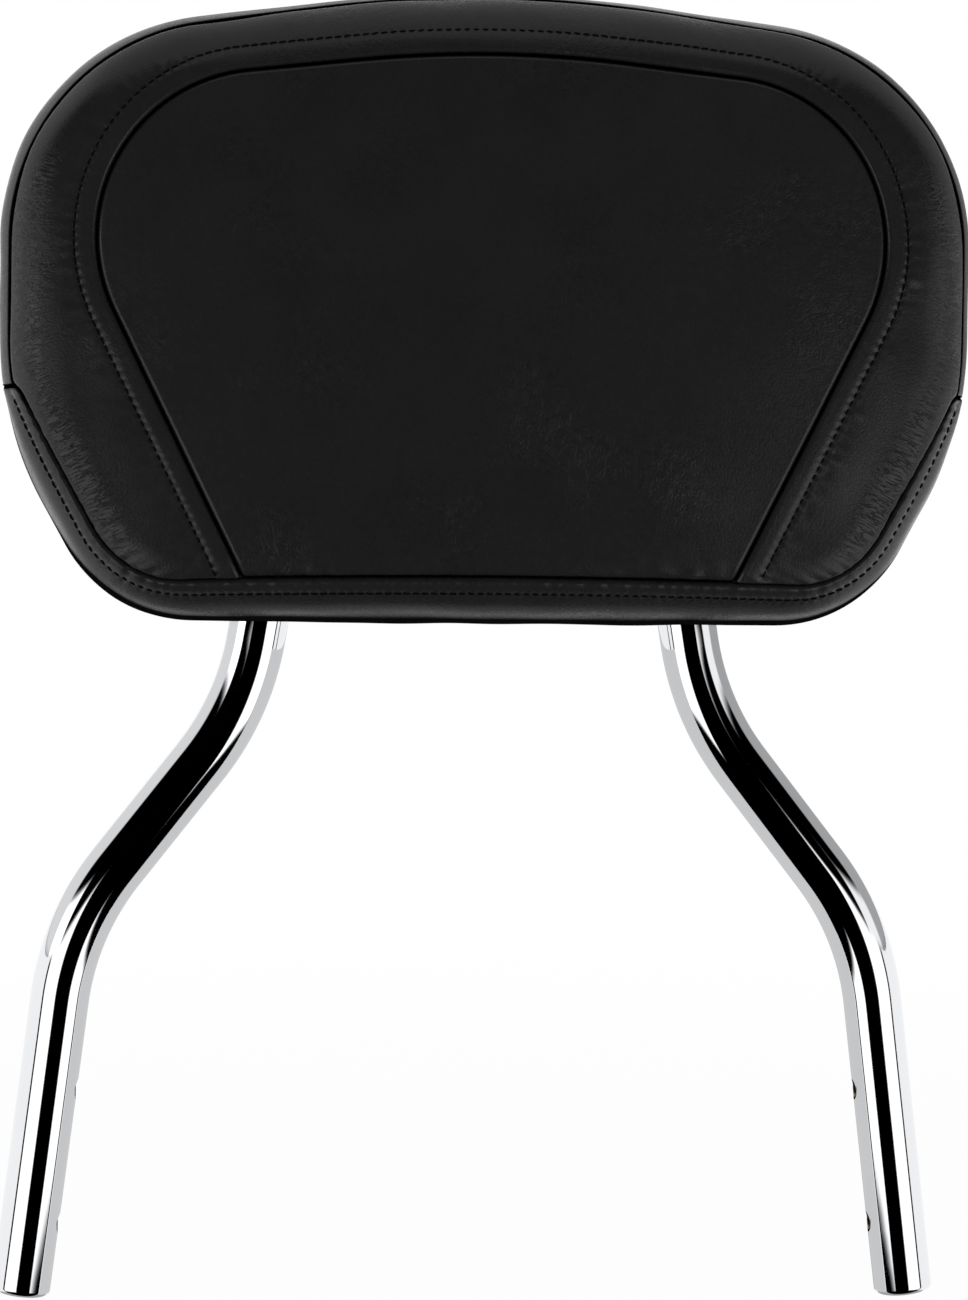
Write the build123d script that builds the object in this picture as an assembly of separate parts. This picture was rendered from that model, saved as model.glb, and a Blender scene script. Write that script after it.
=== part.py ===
from build123d import *
import os
from math import atan, cos, radians, sqrt, tan

# Motorcycle sissy bar: a bent tube hoop that carries a padded backrest.
# Millimetres. +X is the bar's right seen from the front, -Y is the side the pad faces
# and +Z is up. The origin is midway between the two lower bolt holes, on the hoop's plane.

# Hoop tube
TUBE_OD = 19.05
TUBE_WALL = 2.0
LOWER_HOLE_SPAN = 284.4  # between the legs' axes at the lower bolt holes
LEG_LEAN = 7.2  # degrees from upright, the legs spread downwards
DIAGONAL_LEAN = 38.0
UPRIGHT_LEAN = 9.5
LOWER_KNEE_HEIGHT = 96.4  # where the leg's and the diagonal's axes cross
UPPER_KNEE_HEIGHT = 167.7
HOOP_HEIGHT = 365.0
KNEE_RADIUS = 88.9
ARCH_RADIUS = 38.1
LEG_TAIL = 24.4  # along the leg, from the lower hole to the closed end

# Plugs that close the legs
PLUG_HEAD = 2.5
PLUG_EDGE = 2.0
PLUG_SPIGOT = 8.0
PLUG_CLEARANCE = 0.1

# Tapped bungs in the legs' inner faces
HOLE_PITCH = 44.45  # along the leg
BUNG_OD = 12.0
BUNG_BORE = 6.6
BUNG_CLEARANCE = 0.8

# Cross straps and their welds
STRAP_WIDTH = 30.0
STRAP_THICKNESS = 5.0
STRAP_SETBACK = 1.5  # strap's rear face forward of the hoop's plane
WELD_RADIUS = 2.2
WELD_END_GAP = 1.5

# Pad bolts, washers and inserts
BOLT_PITCH_X = 60.0
BOLT_PITCH_Z = 85.0
BOLT_DROP = 20.0  # bolt pattern's centre below the pad's centre
BOLT_DIAMETER = 6.0
BOLT_LENGTH = 16.0
BOLT_HEAD_DIAMETER = 10.5
BOLT_HEAD_HEIGHT = 3.3
BOLT_HEAD_ROUND = 2.4
BOLT_SOCKET_FLATS = 4.0
BOLT_SOCKET_DEPTH = 2.0
BOLT_HOLE_CLEARANCE = 0.3
FLAT_WASHER_OD = 14.0
FLAT_WASHER_THICKNESS = 1.2
SPRING_WASHER_OD = 11.0
SPRING_WASHER_THICKNESS = 1.6
SPRING_WASHER_SPLIT = 1.0
WASHER_CLEARANCE = 0.2
THREAD_CLEARANCE = 0.05
INSERT_OD = 9.0
INSERT_LENGTH = 11.0
INSERT_FLANGE_OD = 12.0
INSERT_FLANGE = 1.2

# Pad outline seen from the front, about the pad's centre
PAD_CENTRE_HEIGHT = 293.7
PAD_HALF_WIDTH = 151.8
PAD_TOP = 104.1  # peak of the two top lines, before rounding
PAD_SHOULDER = 84.9  # where the top lines would meet the sides
PAD_FLANK = -34.0  # where the sides turn in
PAD_BOTTOM = -95.2
PAD_BOTTOM_HALF_WIDTH = 118.6
PAD_TOP_RADIUS = 420.0
PAD_SHOULDER_RADIUS = 69.7
PAD_FLANK_RADIUS = 108.4
PAD_BOTTOM_RADIUS = 45.6

# Pad depth, from the hoop's plane forwards
BACK_COVER_GAP = 2.5  # between the tube and the back cover
BACK_COVER_DEPTH = 6.5
PAD_DEPTH = 51.5  # from the cover's hem to the crown of the front
PAD_CROWN_RADIUS = 1200.0
PAD_EDGE_RADIUS = 24.0
PAD_BACK_RADIUS = 8.0

# Sewn cover
VINYL = 1.5
SEAM_WIDTH = 1.6
SEAM_DEPTH = 0.8
EDGE_SEAM_SETBACK = 24.0  # upper edge seam behind the crown of the front
BAND_START = -22.6  # height where the lower band starts
BAND_FLANK_INSET = 11.0  # lower band's seam in from the flanks
BAND_SEAM_INSET = 14.2  # and up from the bottom
PANEL_TOP = 83.7
PANEL_SHOULDER = 67.5
PANEL_FOOT_HALF_WIDTH = 75.9
PANEL_LEAN = 26.2
PANEL_TOP_RADIUS = 380.0
PANEL_SHOULDER_RADIUS = 51.5
HEM_INSET = 24.0

# Staples through the hem
STAPLE_COUNT = 28
STAPLE_INSET = 20.0
STAPLE_CROWN = 10.0
STAPLE_WIRE = 0.7
STAPLE_WIDTH = 1.3
STAPLE_LEG = 4.0

# Base pan
PAN_THICKNESS = 4.0
BOSS_OD = 16.0
RIB_THICKNESS = 2.5
RIB_HEIGHT = 4.0
POST_OD = 9.0

# Back cover and its screws
BACK_COVER_INSET = 9.0
BACK_COVER_WALL = 2.5
BACK_COVER_ROUND = 4.5
BOSS_HOLE_CLEARANCE = 0.5
SCREW_UPPER_X = 100.0
SCREW_UPPER_Z = 52.0
SCREW_LOWER_X = 88.0
SCREW_LOWER_Z = -62.0
SCREW_DIAMETER = 4.0
SCREW_LENGTH = 9.0
SCREW_HEAD_DIAMETER = 8.0
SCREW_HEAD_HEIGHT = 2.4
SCREW_HEAD_ROUND = 1.6
SCREW_RECESS_LENGTH = 4.4
SCREW_RECESS_WIDTH = 1.0
SCREW_RECESS_DEPTH = 1.2
SCREW_HOLE_CLEARANCE = 0.25

REACH = 300.0  # half size of a cutting body, well past the pad

tube_radius = TUBE_OD / 2
tube_bore_radius = tube_radius - TUBE_WALL
left_and_right = {"left": -1, "right": 1}

# Depths forward of the hoop's plane, from the straps to the front of the pad
strap_front = STRAP_SETBACK + STRAP_THICKNESS
back_cover_rear = tube_radius + BACK_COVER_GAP
hem_rear = back_cover_rear + BACK_COVER_DEPTH
pan_rear = hem_rear + VINYL
pan_front = pan_rear + PAN_THICKNESS
pad_front = hem_rear + PAD_DEPTH
edge_seam = pad_front - EDGE_SEAM_SETBACK

# The pad is modelled lying on its back: local Z is forwards, local Y is up the pad.
pad_frame = Plane(origin=(0, 0, PAD_CENTRE_HEIGHT), x_dir=(1, 0, 0), z_dir=(0, -1, 0))
bolt_points = [
    (x * BOLT_PITCH_X / 2, z * BOLT_PITCH_Z / 2 - BOLT_DROP) for x in (-1, 1) for z in (-1, 1)
]
screw_points = [
    (side * x, z)
    for side in (-1, 1)
    for x, z in ((SCREW_UPPER_X, SCREW_UPPER_Z), (SCREW_LOWER_X, SCREW_LOWER_Z))
]
parts = {}


def rod(diameter, start, end):
    """A cylinder on Z between two heights."""
    return Pos(0, 0, start) * Cylinder(
        diameter / 2, end - start, align=(Align.CENTER, Align.CENTER, Align.MIN)
    )


def at_each(points, shape):
    """One copy of a shape at each point, as separate solids in one group."""
    return Compound(children=[Pos(x, y, 0) * shape for x, y in points])


def cut(solid, tools):
    """A solid less each of several tools."""
    for tool in tools:
        solid = solid - tool
    return solid


# Hoop centre line: points on the axes of the right half
def leg_x(height):
    """X of the right leg's axis at a height."""
    return LOWER_HOLE_SPAN / 2 - height * tan(radians(LEG_LEAN))


lower_knee_x = leg_x(LOWER_KNEE_HEIGHT)
diagonal_rise = UPPER_KNEE_HEIGHT - LOWER_KNEE_HEIGHT
upper_knee_x = lower_knee_x - diagonal_rise * tan(radians(DIAGONAL_LEAN))


def upright_x(height):
    """X of the right upright's axis at a height."""
    return upper_knee_x - (height - UPPER_KNEE_HEIGHT) * tan(radians(UPRIGHT_LEAN))


foot_height = -(LEG_TAIL - PLUG_HEAD) * cos(radians(LEG_LEAN))
right_half = [
    (leg_x(foot_height), foot_height),
    (lower_knee_x, LOWER_KNEE_HEIGHT),
    (upper_knee_x, UPPER_KNEE_HEIGHT),
    (upright_x(HOOP_HEIGHT), HOOP_HEIGHT),
]
left_half = [(-x, z) for x, z in reversed(right_half)]
hoop_line = Plane.XZ * FilletPolyline(
    *right_half,
    *left_half,
    radius=[KNEE_RADIUS, KNEE_RADIUS, ARCH_RADIUS, ARCH_RADIUS, KNEE_RADIUS, KNEE_RADIUS],
)
hoop_end = Plane(origin=hoop_line @ 0, z_dir=hoop_line % 0)
hoop_blank = sweep(hoop_end * Circle(tube_radius), path=hoop_line)
hoop_bore = sweep(hoop_end * Circle(tube_bore_radius), path=hoop_line)
hoop_tube = hoop_blank - hoop_bore

# Tapped bungs: each lies across a leg, its mouth flush with the tube's inner face
bung_radius = BUNG_OD / 2
bung_tail = sqrt(tube_bore_radius**2 - bung_radius**2) - BUNG_CLEARANCE
hole_heights = {"lower": 0.0, "upper": HOLE_PITCH * cos(radians(LEG_LEAN))}
for side_name, side in left_and_right.items():
    for level, height in hole_heights.items():
        across = Plane(
            origin=(side * leg_x(height), 0, height), x_dir=(0, 1, 0), z_dir=(-side, 0, 0)
        )
        bung_hole = across * rod(BUNG_OD, -bung_tail, TUBE_OD)
        bung = hoop_blank & bung_hole
        parts[f"{side_name}_{level}_bung"] = bung - across * rod(BUNG_BORE, -TUBE_OD, TUBE_OD)
        hoop_tube = hoop_tube - bung_hole
parts["hoop_tube"] = hoop_tube

# Leg plugs: a rounded head as wide as the tube on a spigot inside it
plug_head = rod(TUBE_OD, 0, PLUG_HEAD)
plug_head = fillet(plug_head.edges().sort_by(Axis.Z)[-1], PLUG_EDGE)
leg_plug = plug_head + rod(2 * (tube_bore_radius - PLUG_CLEARANCE), -PLUG_SPIGOT, 0)
for side_name, side in left_and_right.items():
    end = hoop_line @ 0 if side > 0 else hoop_line @ 1
    outwards = -(hoop_line % 0) if side > 0 else hoop_line % 1
    parts[f"{side_name}_leg_plug"] = Plane(origin=end, z_dir=outwards) * leg_plug

# Cross straps: flat bar cut to the round of the tube at each end, drilled for the pad bolts
bolt_hole = rod(BOLT_DIAMETER + 2 * BOLT_HOLE_CLEARANCE, 0, strap_front + STRAP_THICKNESS)
strap_rows = {"lower": -BOLT_PITCH_Z / 2 - BOLT_DROP, "upper": BOLT_PITCH_Z / 2 - BOLT_DROP}
welds = []
for level, row in strap_rows.items():
    axis_x = upright_x(PAD_CENTRE_HEIGHT + row)
    bar = Pos(0, row, STRAP_SETBACK) * Box(
        2 * axis_x,
        STRAP_WIDTH,
        STRAP_THICKNESS,
        align=(Align.CENTER, Align.CENTER, Align.MIN),
    )
    strap = pad_frame * cut(bar, [at_each(bolt_points, bolt_hole)]) - hoop_blank
    parts[f"{level}_cross_strap"] = strap
    for side in left_and_right.values():
        for face in (STRAP_SETBACK, strap_front):
            half_chord = sqrt(tube_radius**2 - face**2) / cos(radians(UPRIGHT_LEAN))
            bead_line = Plane(
                origin=(side * (axis_x - half_chord), row, face),
                x_dir=(0, 0, 1),
                z_dir=(-side * tan(radians(UPRIGHT_LEAN)), 1, 0),
            )
            bead_reach = STRAP_WIDTH / 2 - WELD_END_GAP
            bead = pad_frame * (bead_line * rod(2 * WELD_RADIUS, -bead_reach, bead_reach))
            welds.append(cut(bead, [hoop_blank, strap]))
parts["strap_welds"] = Compound(children=welds)

# Pad bolts and their washers, clamped behind the straps
flat_washer_rear = STRAP_SETBACK - FLAT_WASHER_THICKNESS
head_seat = flat_washer_rear - SPRING_WASHER_THICKNESS
washer_bore = BOLT_DIAMETER + 2 * WASHER_CLEARANCE
flat_washer = rod(FLAT_WASHER_OD, flat_washer_rear, STRAP_SETBACK)
flat_washer = flat_washer - rod(washer_bore, flat_washer_rear, STRAP_SETBACK)
spring_washer = rod(SPRING_WASHER_OD, head_seat, flat_washer_rear)
spring_washer = spring_washer - rod(washer_bore, head_seat, flat_washer_rear)
split_middle = (SPRING_WASHER_OD / 2, 0, (head_seat + flat_washer_rear) / 2)
spring_washer = spring_washer - Pos(*split_middle) * Rot(30, 0, 0) * Box(
    SPRING_WASHER_OD, SPRING_WASHER_SPLIT, 4 * SPRING_WASHER_THICKNESS
)
bolt_head = rod(BOLT_HEAD_DIAMETER, head_seat - BOLT_HEAD_HEIGHT, head_seat)
bolt_head = fillet(bolt_head.edges().sort_by(Axis.Z)[0], BOLT_HEAD_ROUND)
socket = extrude(RegularPolygon(BOLT_SOCKET_FLATS / 2, 6, major_radius=False), BOLT_SOCKET_DEPTH)
bolt_head = bolt_head - Pos(0, 0, head_seat - BOLT_HEAD_HEIGHT) * socket
pad_bolt = bolt_head + rod(BOLT_DIAMETER, head_seat, head_seat + BOLT_LENGTH)
parts["flat_washers"] = pad_frame * at_each(bolt_points, flat_washer)
parts["spring_washers"] = pad_frame * at_each(bolt_points, spring_washer)
parts["pad_bolts"] = pad_frame * at_each(bolt_points, pad_bolt)

# Threaded inserts: flanged sleeves moulded flush into the pan's bosses
insert_end = strap_front + INSERT_LENGTH
insert_body = rod(INSERT_OD, strap_front, insert_end) + rod(
    INSERT_FLANGE_OD, insert_end - INSERT_FLANGE, insert_end
)
thread_bore = rod(BOLT_DIAMETER + 2 * THREAD_CLEARANCE, strap_front, insert_end)
parts["threaded_inserts"] = pad_frame * at_each(bolt_points, insert_body - thread_bore)

# Pad outline and the cushion's form: crowned front, rolled front edge, rounded back edge
pad_outline = make_face(
    FilletPolyline(
        (0, PAD_TOP),
        (PAD_HALF_WIDTH, PAD_SHOULDER),
        (PAD_HALF_WIDTH, PAD_FLANK),
        (PAD_BOTTOM_HALF_WIDTH, PAD_BOTTOM),
        (-PAD_BOTTOM_HALF_WIDTH, PAD_BOTTOM),
        (-PAD_HALF_WIDTH, PAD_FLANK),
        (-PAD_HALF_WIDTH, PAD_SHOULDER),
        radius=[
            PAD_TOP_RADIUS,
            PAD_SHOULDER_RADIUS,
            PAD_FLANK_RADIUS,
            PAD_BOTTOM_RADIUS,
            PAD_BOTTOM_RADIUS,
            PAD_FLANK_RADIUS,
            PAD_SHOULDER_RADIUS,
        ],
        close=True,
    )
)


def outline_slab(inset, start, end):
    """The pad's outline set in by a distance, as a slab between two depths."""
    face = offset(pad_outline, -inset) if inset else pad_outline
    return extrude(Pos(0, 0, start) * face, end - start)


def cushion(inset):
    """The pad's whole form, set in by a distance all over."""
    block = outline_slab(inset, hem_rear + inset, REACH)
    crown_centre = pad_front - PAD_CROWN_RADIUS
    block = block & Pos(0, 0, crown_centre) * Rot(0, 90, 0) * Sphere(PAD_CROWN_RADIUS - inset)
    crown_face = block.faces().sort_by(Axis.Z)[-1]
    block = fillet(crown_face.outer_wire().edges(), PAD_EDGE_RADIUS - inset)
    back_face = block.faces().sort_by(Axis.Z)[0]
    return fillet(back_face.outer_wire().edges(), PAD_BACK_RADIUS - inset)


outer_form = cushion(0)
inner_form = cushion(VINYL)

# Front of the cover: all above the band's start, and inside the band seam below it
flank_lean = atan((PAD_HALF_WIDTH - PAD_BOTTOM_HALF_WIDTH) / (PAD_FLANK - PAD_BOTTOM))


def band_seam_x(height):
    """X of the band's seam at a height of the right flank."""
    flank_x = PAD_HALF_WIDTH - (PAD_FLANK - height) * tan(flank_lean)
    return flank_x - BAND_FLANK_INSET / cos(flank_lean)


band_seam_z = PAD_BOTTOM + BAND_SEAM_INSET
band_corner_x = band_seam_x(BAND_START)
band_foot_x = band_seam_x(band_seam_z)
band_radius = PAD_BOTTOM_RADIUS - BAND_SEAM_INSET
front_face = make_face(
    FilletPolyline(
        (-REACH, REACH),
        (REACH, REACH),
        (REACH, BAND_START),
        (band_corner_x, BAND_START),
        (band_foot_x, band_seam_z),
        (-band_foot_x, band_seam_z),
        (-band_corner_x, BAND_START),
        (-REACH, BAND_START),
        radius=[0, 0, 0, 0, band_radius, band_radius, 0, 0],
        close=True,
    )
)

# Centre panel: a rounded trapezium whose foot runs down to the band seam
panel_slope = tan(radians(PANEL_LEAN))
panel_shoulder_x = PANEL_FOOT_HALF_WIDTH + (PANEL_SHOULDER - band_seam_z) * panel_slope
panel_end_x = PANEL_FOOT_HALF_WIDTH - BAND_SEAM_INSET * panel_slope
panel_face = make_face(
    FilletPolyline(
        (0, PANEL_TOP),
        (panel_shoulder_x, PANEL_SHOULDER),
        (panel_end_x, PAD_BOTTOM),
        (-panel_end_x, PAD_BOTTOM),
        (-panel_shoulder_x, PANEL_SHOULDER),
        radius=[PANEL_TOP_RADIUS, PANEL_SHOULDER_RADIUS, 0, 0, PANEL_SHOULDER_RADIUS],
        close=True,
    )
)


def forwards(face):
    """A cutting body on a face, from the edge seam's depth out past the front."""
    return extrude(Pos(0, 0, edge_seam) * face, REACH)


def seam_wall(face):
    """A wall as wide as a seam's groove along the edge of a face."""
    outside = offset(face, SEAM_WIDTH / 2, kind=Kind.INTERSECTION)
    inside = offset(face, -SEAM_WIDTH / 2, kind=Kind.INTERSECTION)
    return forwards(outside) - forwards(inside)


# Seam grooves, sunk a little into the cover's skin
above_band = Pos(0, BAND_START, 0) * Box(
    2 * REACH, REACH, 2 * REACH, align=(Align.CENTER, Align.MIN, Align.CENTER)
)
front_body = forwards(front_face)
panel_body = forwards(panel_face)
edge_wall = above_band & Pos(0, 0, edge_seam) * Box(2 * REACH, 2 * REACH, SEAM_WIDTH)
side_wall = Pos(0, BAND_START, 0) * Box(
    2 * REACH, SEAM_WIDTH, 2 * edge_seam, align=(Align.CENTER, Align.CENTER, Align.CENTER)
)
seam_skin = outer_form - cushion(SEAM_DEPTH)
grooves = [
    seam_skin & seam_wall(front_face),
    seam_skin & front_body & seam_wall(panel_face),
    seam_skin & edge_wall,
    seam_skin & side_wall,
]

# Staples: U of flat wire, crown on the hem's rear face and legs into the pan
staple = Box(STAPLE_CROWN, STAPLE_WIDTH, STAPLE_WIRE, align=(Align.CENTER, Align.CENTER, Align.MAX))
for end in (-1, 1):
    staple += Pos(end * (STAPLE_CROWN - STAPLE_WIRE) / 2, 0, -STAPLE_WIRE) * Box(
        STAPLE_WIRE,
        STAPLE_WIDTH,
        STAPLE_WIRE + STAPLE_LEG,
        align=(Align.CENTER, Align.CENTER, Align.MIN),
    )
staple_line = offset(pad_outline, -STAPLE_INSET).face().outer_wire()
staple_row = []
for i in range(STAPLE_COUNT):
    u = (i + 0.5) / STAPLE_COUNT
    seat = (staple_line @ u) + Vector(0, 0, hem_rear)
    staple_row.append(Plane(origin=seat, x_dir=staple_line % u, z_dir=(0, 0, 1)) * staple)
staples = Compound(children=staple_row)
parts["hem_staples"] = pad_frame * staples

# Cover panels, cut from the cushion's skin along the seams
cover = outer_form - inner_form - outline_slab(HEM_INSET, hem_rear, pan_rear)
cover = cut(cover, grooves)
front_cover = cover & front_body
rear_cover = cover - front_body - staples
parts["centre_panel"] = pad_frame * (front_cover & panel_body)
parts["bolster_panel"] = pad_frame * (front_cover - panel_body)
parts["side_band"] = pad_frame * (rear_cover & above_band)
parts["lower_band"] = pad_frame * (rear_cover - above_band)

# Foam core and base pan share the space inside the cover
pan_split = Plane(origin=(0, 0, pan_front))
parts["foam_core"] = pad_frame * split(inner_form, bisect_by=pan_split, keep=Keep.TOP)
pan = split(inner_form, bisect_by=pan_split, keep=Keep.BOTTOM)
rib_base = (Align.CENTER, Align.CENTER, Align.MAX)
for x in (-1, 1):
    pan += Pos(x * BOLT_PITCH_X / 2, -BOLT_DROP, pan_rear) * Box(
        RIB_THICKNESS, BOLT_PITCH_Z, RIB_HEIGHT, align=rib_base
    )
for row in strap_rows.values():
    pan += Pos(0, row, pan_rear) * Box(BOLT_PITCH_X, RIB_THICKNESS, RIB_HEIGHT, align=rib_base)
for x, z in bolt_points:
    pan += Pos(x, z, 0) * rod(BOSS_OD, strap_front, pan_rear)
back_cover_inside = back_cover_rear + BACK_COVER_WALL
screw_tip = back_cover_rear + SCREW_LENGTH
for x, z in screw_points:
    pan += Pos(x, z, 0) * rod(POST_OD, back_cover_inside, pan_rear)
post_hole = rod(SCREW_DIAMETER + 2 * THREAD_CLEARANCE, back_cover_inside, screw_tip)
pan = cut(pan, [at_each(bolt_points, insert_body), at_each(screw_points, post_hole), staples])
parts["base_pan"] = pad_frame * pan

# Back cover: a shallow moulded dish whose rim sits on the hem
dish = outline_slab(BACK_COVER_INSET, back_cover_rear, hem_rear)
dish = fillet(dish.faces().sort_by(Axis.Z)[0].outer_wire().edges(), BACK_COVER_ROUND)
hollow = outline_slab(BACK_COVER_INSET + BACK_COVER_WALL, back_cover_inside, hem_rear)
hollow_round = BACK_COVER_ROUND - BACK_COVER_WALL
hollow = fillet(hollow.faces().sort_by(Axis.Z)[0].outer_wire().edges(), hollow_round)
boss_hole = rod(BOSS_OD + 2 * BOSS_HOLE_CLEARANCE, back_cover_rear, hem_rear)
screw_hole = rod(SCREW_DIAMETER + 2 * SCREW_HOLE_CLEARANCE, back_cover_rear, back_cover_inside)
openings = [at_each(bolt_points, boss_hole), at_each(screw_points, screw_hole)]
parts["back_cover"] = pad_frame * cut(dish, [hollow, *openings])

# Back cover screws: round heads with a cross recess
screw_crown = back_cover_rear - SCREW_HEAD_HEIGHT
screw_head = rod(SCREW_HEAD_DIAMETER, screw_crown, back_cover_rear)
screw_head = fillet(screw_head.edges().sort_by(Axis.Z)[0], SCREW_HEAD_ROUND)
recess_base = (Align.CENTER, Align.CENTER, Align.MIN)
for turn in (0, 90):
    screw_head -= Pos(0, 0, screw_crown) * Rot(0, 0, turn) * Box(
        SCREW_RECESS_LENGTH, SCREW_RECESS_WIDTH, SCREW_RECESS_DEPTH, align=recess_base
    )
screw = screw_head + rod(SCREW_DIAMETER, back_cover_rear, screw_tip)
parts["back_cover_screws"] = pad_frame * at_each(screw_points, screw)

os.makedirs("parts", exist_ok=True)
for node, shape in parts.items():
    export_step(shape, f"parts/{node}.step")
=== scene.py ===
import bmesh
import bpy
import numpy as np
from bpy.props import FloatProperty, FloatVectorProperty, PointerProperty
from mathutils import Matrix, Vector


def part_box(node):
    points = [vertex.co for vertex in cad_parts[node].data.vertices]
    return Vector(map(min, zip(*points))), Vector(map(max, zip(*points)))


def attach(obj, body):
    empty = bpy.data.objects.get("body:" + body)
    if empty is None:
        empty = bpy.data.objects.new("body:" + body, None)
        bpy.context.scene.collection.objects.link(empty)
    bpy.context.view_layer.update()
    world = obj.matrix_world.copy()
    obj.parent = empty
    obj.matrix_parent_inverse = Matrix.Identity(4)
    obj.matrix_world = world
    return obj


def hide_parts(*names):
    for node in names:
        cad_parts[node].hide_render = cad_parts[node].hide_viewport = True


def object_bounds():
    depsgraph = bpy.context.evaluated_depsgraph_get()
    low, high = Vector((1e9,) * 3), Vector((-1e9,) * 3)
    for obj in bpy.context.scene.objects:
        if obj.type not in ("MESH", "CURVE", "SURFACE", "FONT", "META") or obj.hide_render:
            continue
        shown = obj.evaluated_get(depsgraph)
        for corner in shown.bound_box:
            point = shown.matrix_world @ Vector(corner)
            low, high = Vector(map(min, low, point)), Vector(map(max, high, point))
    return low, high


bl_info = {
    "name": "Sissy bar",
    "version": (1, 0, 0),
    "blender": (4, 5, 0),
    "location": "3D View > Sidebar > Sissy bar",
    "description": "Dresses the sissy bar's frame: chrome hoop, sewn vinyl pad and its hardware",
    "category": "Object",
}

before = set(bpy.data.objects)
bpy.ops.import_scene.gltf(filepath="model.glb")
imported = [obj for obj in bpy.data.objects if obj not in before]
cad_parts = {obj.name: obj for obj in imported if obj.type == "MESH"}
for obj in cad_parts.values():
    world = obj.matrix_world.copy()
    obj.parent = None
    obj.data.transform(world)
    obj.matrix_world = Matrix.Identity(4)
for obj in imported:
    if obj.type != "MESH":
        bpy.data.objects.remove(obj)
CAD_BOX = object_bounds()
MM = 0.001
PAD_FRONT = -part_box("centre_panel")[0].y
PAD_HEM = -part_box("side_band")[1].y
FORWARD = np.array([0, -1, 0])


def length(name, description, millimetres):
    """A length property, given in millimetres and kept in metres."""
    return FloatProperty(
        name=name, description=description, default=millimetres * MM, unit="LENGTH", precision=4
    )


def angle(name, description, degrees):
    """An angle property, given in degrees."""
    return FloatProperty(
        name=name, description=description, default=np.radians(degrees), subtype="ANGLE"
    )


def colour(name, description, value):
    """A colour property in linear red, green and blue."""
    return FloatVectorProperty(
        name=name, description=description, default=value, size=3, subtype="COLOR", min=0, max=1
    )


def share(name, description, value):
    """A plain number from 0 to 1."""
    return FloatProperty(
        name=name, description=description, default=value, min=0, max=1, subtype="FACTOR"
    )


def level(name, description, value, **options):
    """A plain number, such as a brightness or a lamp's watts."""
    return FloatProperty(name=name, description=description, default=value, **options)


class HoopSizes(bpy.types.PropertyGroup):
    """Sizes of the bent tube"""

    tube: length("Tube", "Outside diameter of the tube", 19.05)
    bore: length("Bore", "Inside diameter of the tube", 15.05)
    hole_span: length("Hole span", "Between the legs' axes at the lower holes", 284.4)
    hole_pitch: length("Hole pitch", "Along a leg, between its two holes", 44.45)
    hole: length("Hole", "Mouth of a tapped hole", 6.9)
    thread: length("Thread", "Bore inside the thread", 6.3)
    thread_pitch: length("Thread pitch", "From one thread to the next", 1.41)
    leg_lean: angle("Leg lean", "Lean of the legs from upright", 7.2)
    diagonal_lean: angle("Diagonal lean", "Lean of the diagonals from upright", 38.0)
    upright_lean: angle("Upright lean", "Lean of the uprights behind the pad", 9.5)
    lower_knee: length("Lower knee", "Height where leg and diagonal cross", 96.4)
    upper_knee: length("Upper knee", "Height where diagonal and upright cross", 167.7)
    height: length("Height", "Height of the arch's centre line", 365.0)
    knee_radius: length("Knee radius", "Bend radius of the knees", 88.9)
    arch_radius: length("Arch radius", "Bend radius of the arch's corners", 38.1)
    tail: length("Tail", "Along a leg, from the lower hole to the tube's end", 21.9)


class PadSizes(bpy.types.PropertyGroup):
    """Sizes of the cushion's form"""

    centre: length("Centre", "Height of the pad's centre", 293.7)
    half_width: length("Half width", "Centre line to the sides", 151.8)
    top: length("Top", "Peak of the top lines above the centre", 104.1)
    shoulder: length("Shoulder", "Where the top lines would meet the sides", 84.9)
    flank: length("Flank", "Where the sides turn in", -34.0)
    bottom: length("Bottom", "Bottom edge", -95.2)
    bottom_half: length("Bottom half width", "Centre line to the bottom corners", 118.6)
    top_radius: length("Top radius", "Round of the top's peak", 420.0)
    shoulder_radius: length("Shoulder radius", "Round of the shoulders", 69.7)
    flank_radius: length("Flank radius", "Round of the flank corners", 108.4)
    bottom_radius: length("Bottom radius", "Round of the bottom corners", 45.6)
    crown: length("Crown", "Radius of the crowned front", 1200.0)
    roll: length("Roll", "Radius of the rolled front edge", 24.0)
    back_roll: length("Back roll", "Radius of the back edge", 8.0)
    hem: length("Hem", "Width of the hem that shows on the back, and a little more", 15.0)


class CoverSizes(bpy.types.PropertyGroup):
    """Sizes of the sewn cover"""

    edge_seam: length("Edge seam", "Upper edge seam behind the crown", 19.0)
    band_start: length("Band start", "Height where the lower band starts", -22.6)
    band_flank: length("Band flank", "Lower band's seam in from the flanks", 11.0)
    band_inset: length("Band inset", "Lower band's seam up from the bottom", 14.2)
    band_bow: length("Band bow", "Rise of the lower band's seam in the middle", 2.0)
    panel_top: length("Panel top", "Peak of the centre panel", 83.7)
    panel_shoulder: length("Panel shoulder", "Where the panel's top and sides would meet", 67.5)
    panel_foot: length("Panel foot", "Half width of the panel at the band's seam", 75.9)
    panel_lean: angle("Panel lean", "Lean of the panel's sides", 26.2)
    panel_top_radius: length("Panel top radius", "Round of the panel's peak", 380.0)
    panel_radius: length("Panel radius", "Round of the panel's shoulders", 51.5)
    seam: length("Seam depth", "How far the seams sink", 1.9)
    fold: length("Fold", "Height of the folded vinyl beside a seam", 0.35)
    topstitch: length("Topstitch", "Panel seam to its row of stitches", 7.0)
    band_stitch: length("Band topstitch", "Band seam to its row of stitches", 5.2)
    pitch: length("Stitch pitch", "From one stitch to the next", 2.9)
    thread: length("Thread", "Thickness of the thread", 0.62)
    swell: length("Swell", "Most that the stuffed cover may swell", 3.5)
    plump: length("Plump", "How far the cover stands off the foam's form", 1.3)


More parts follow.
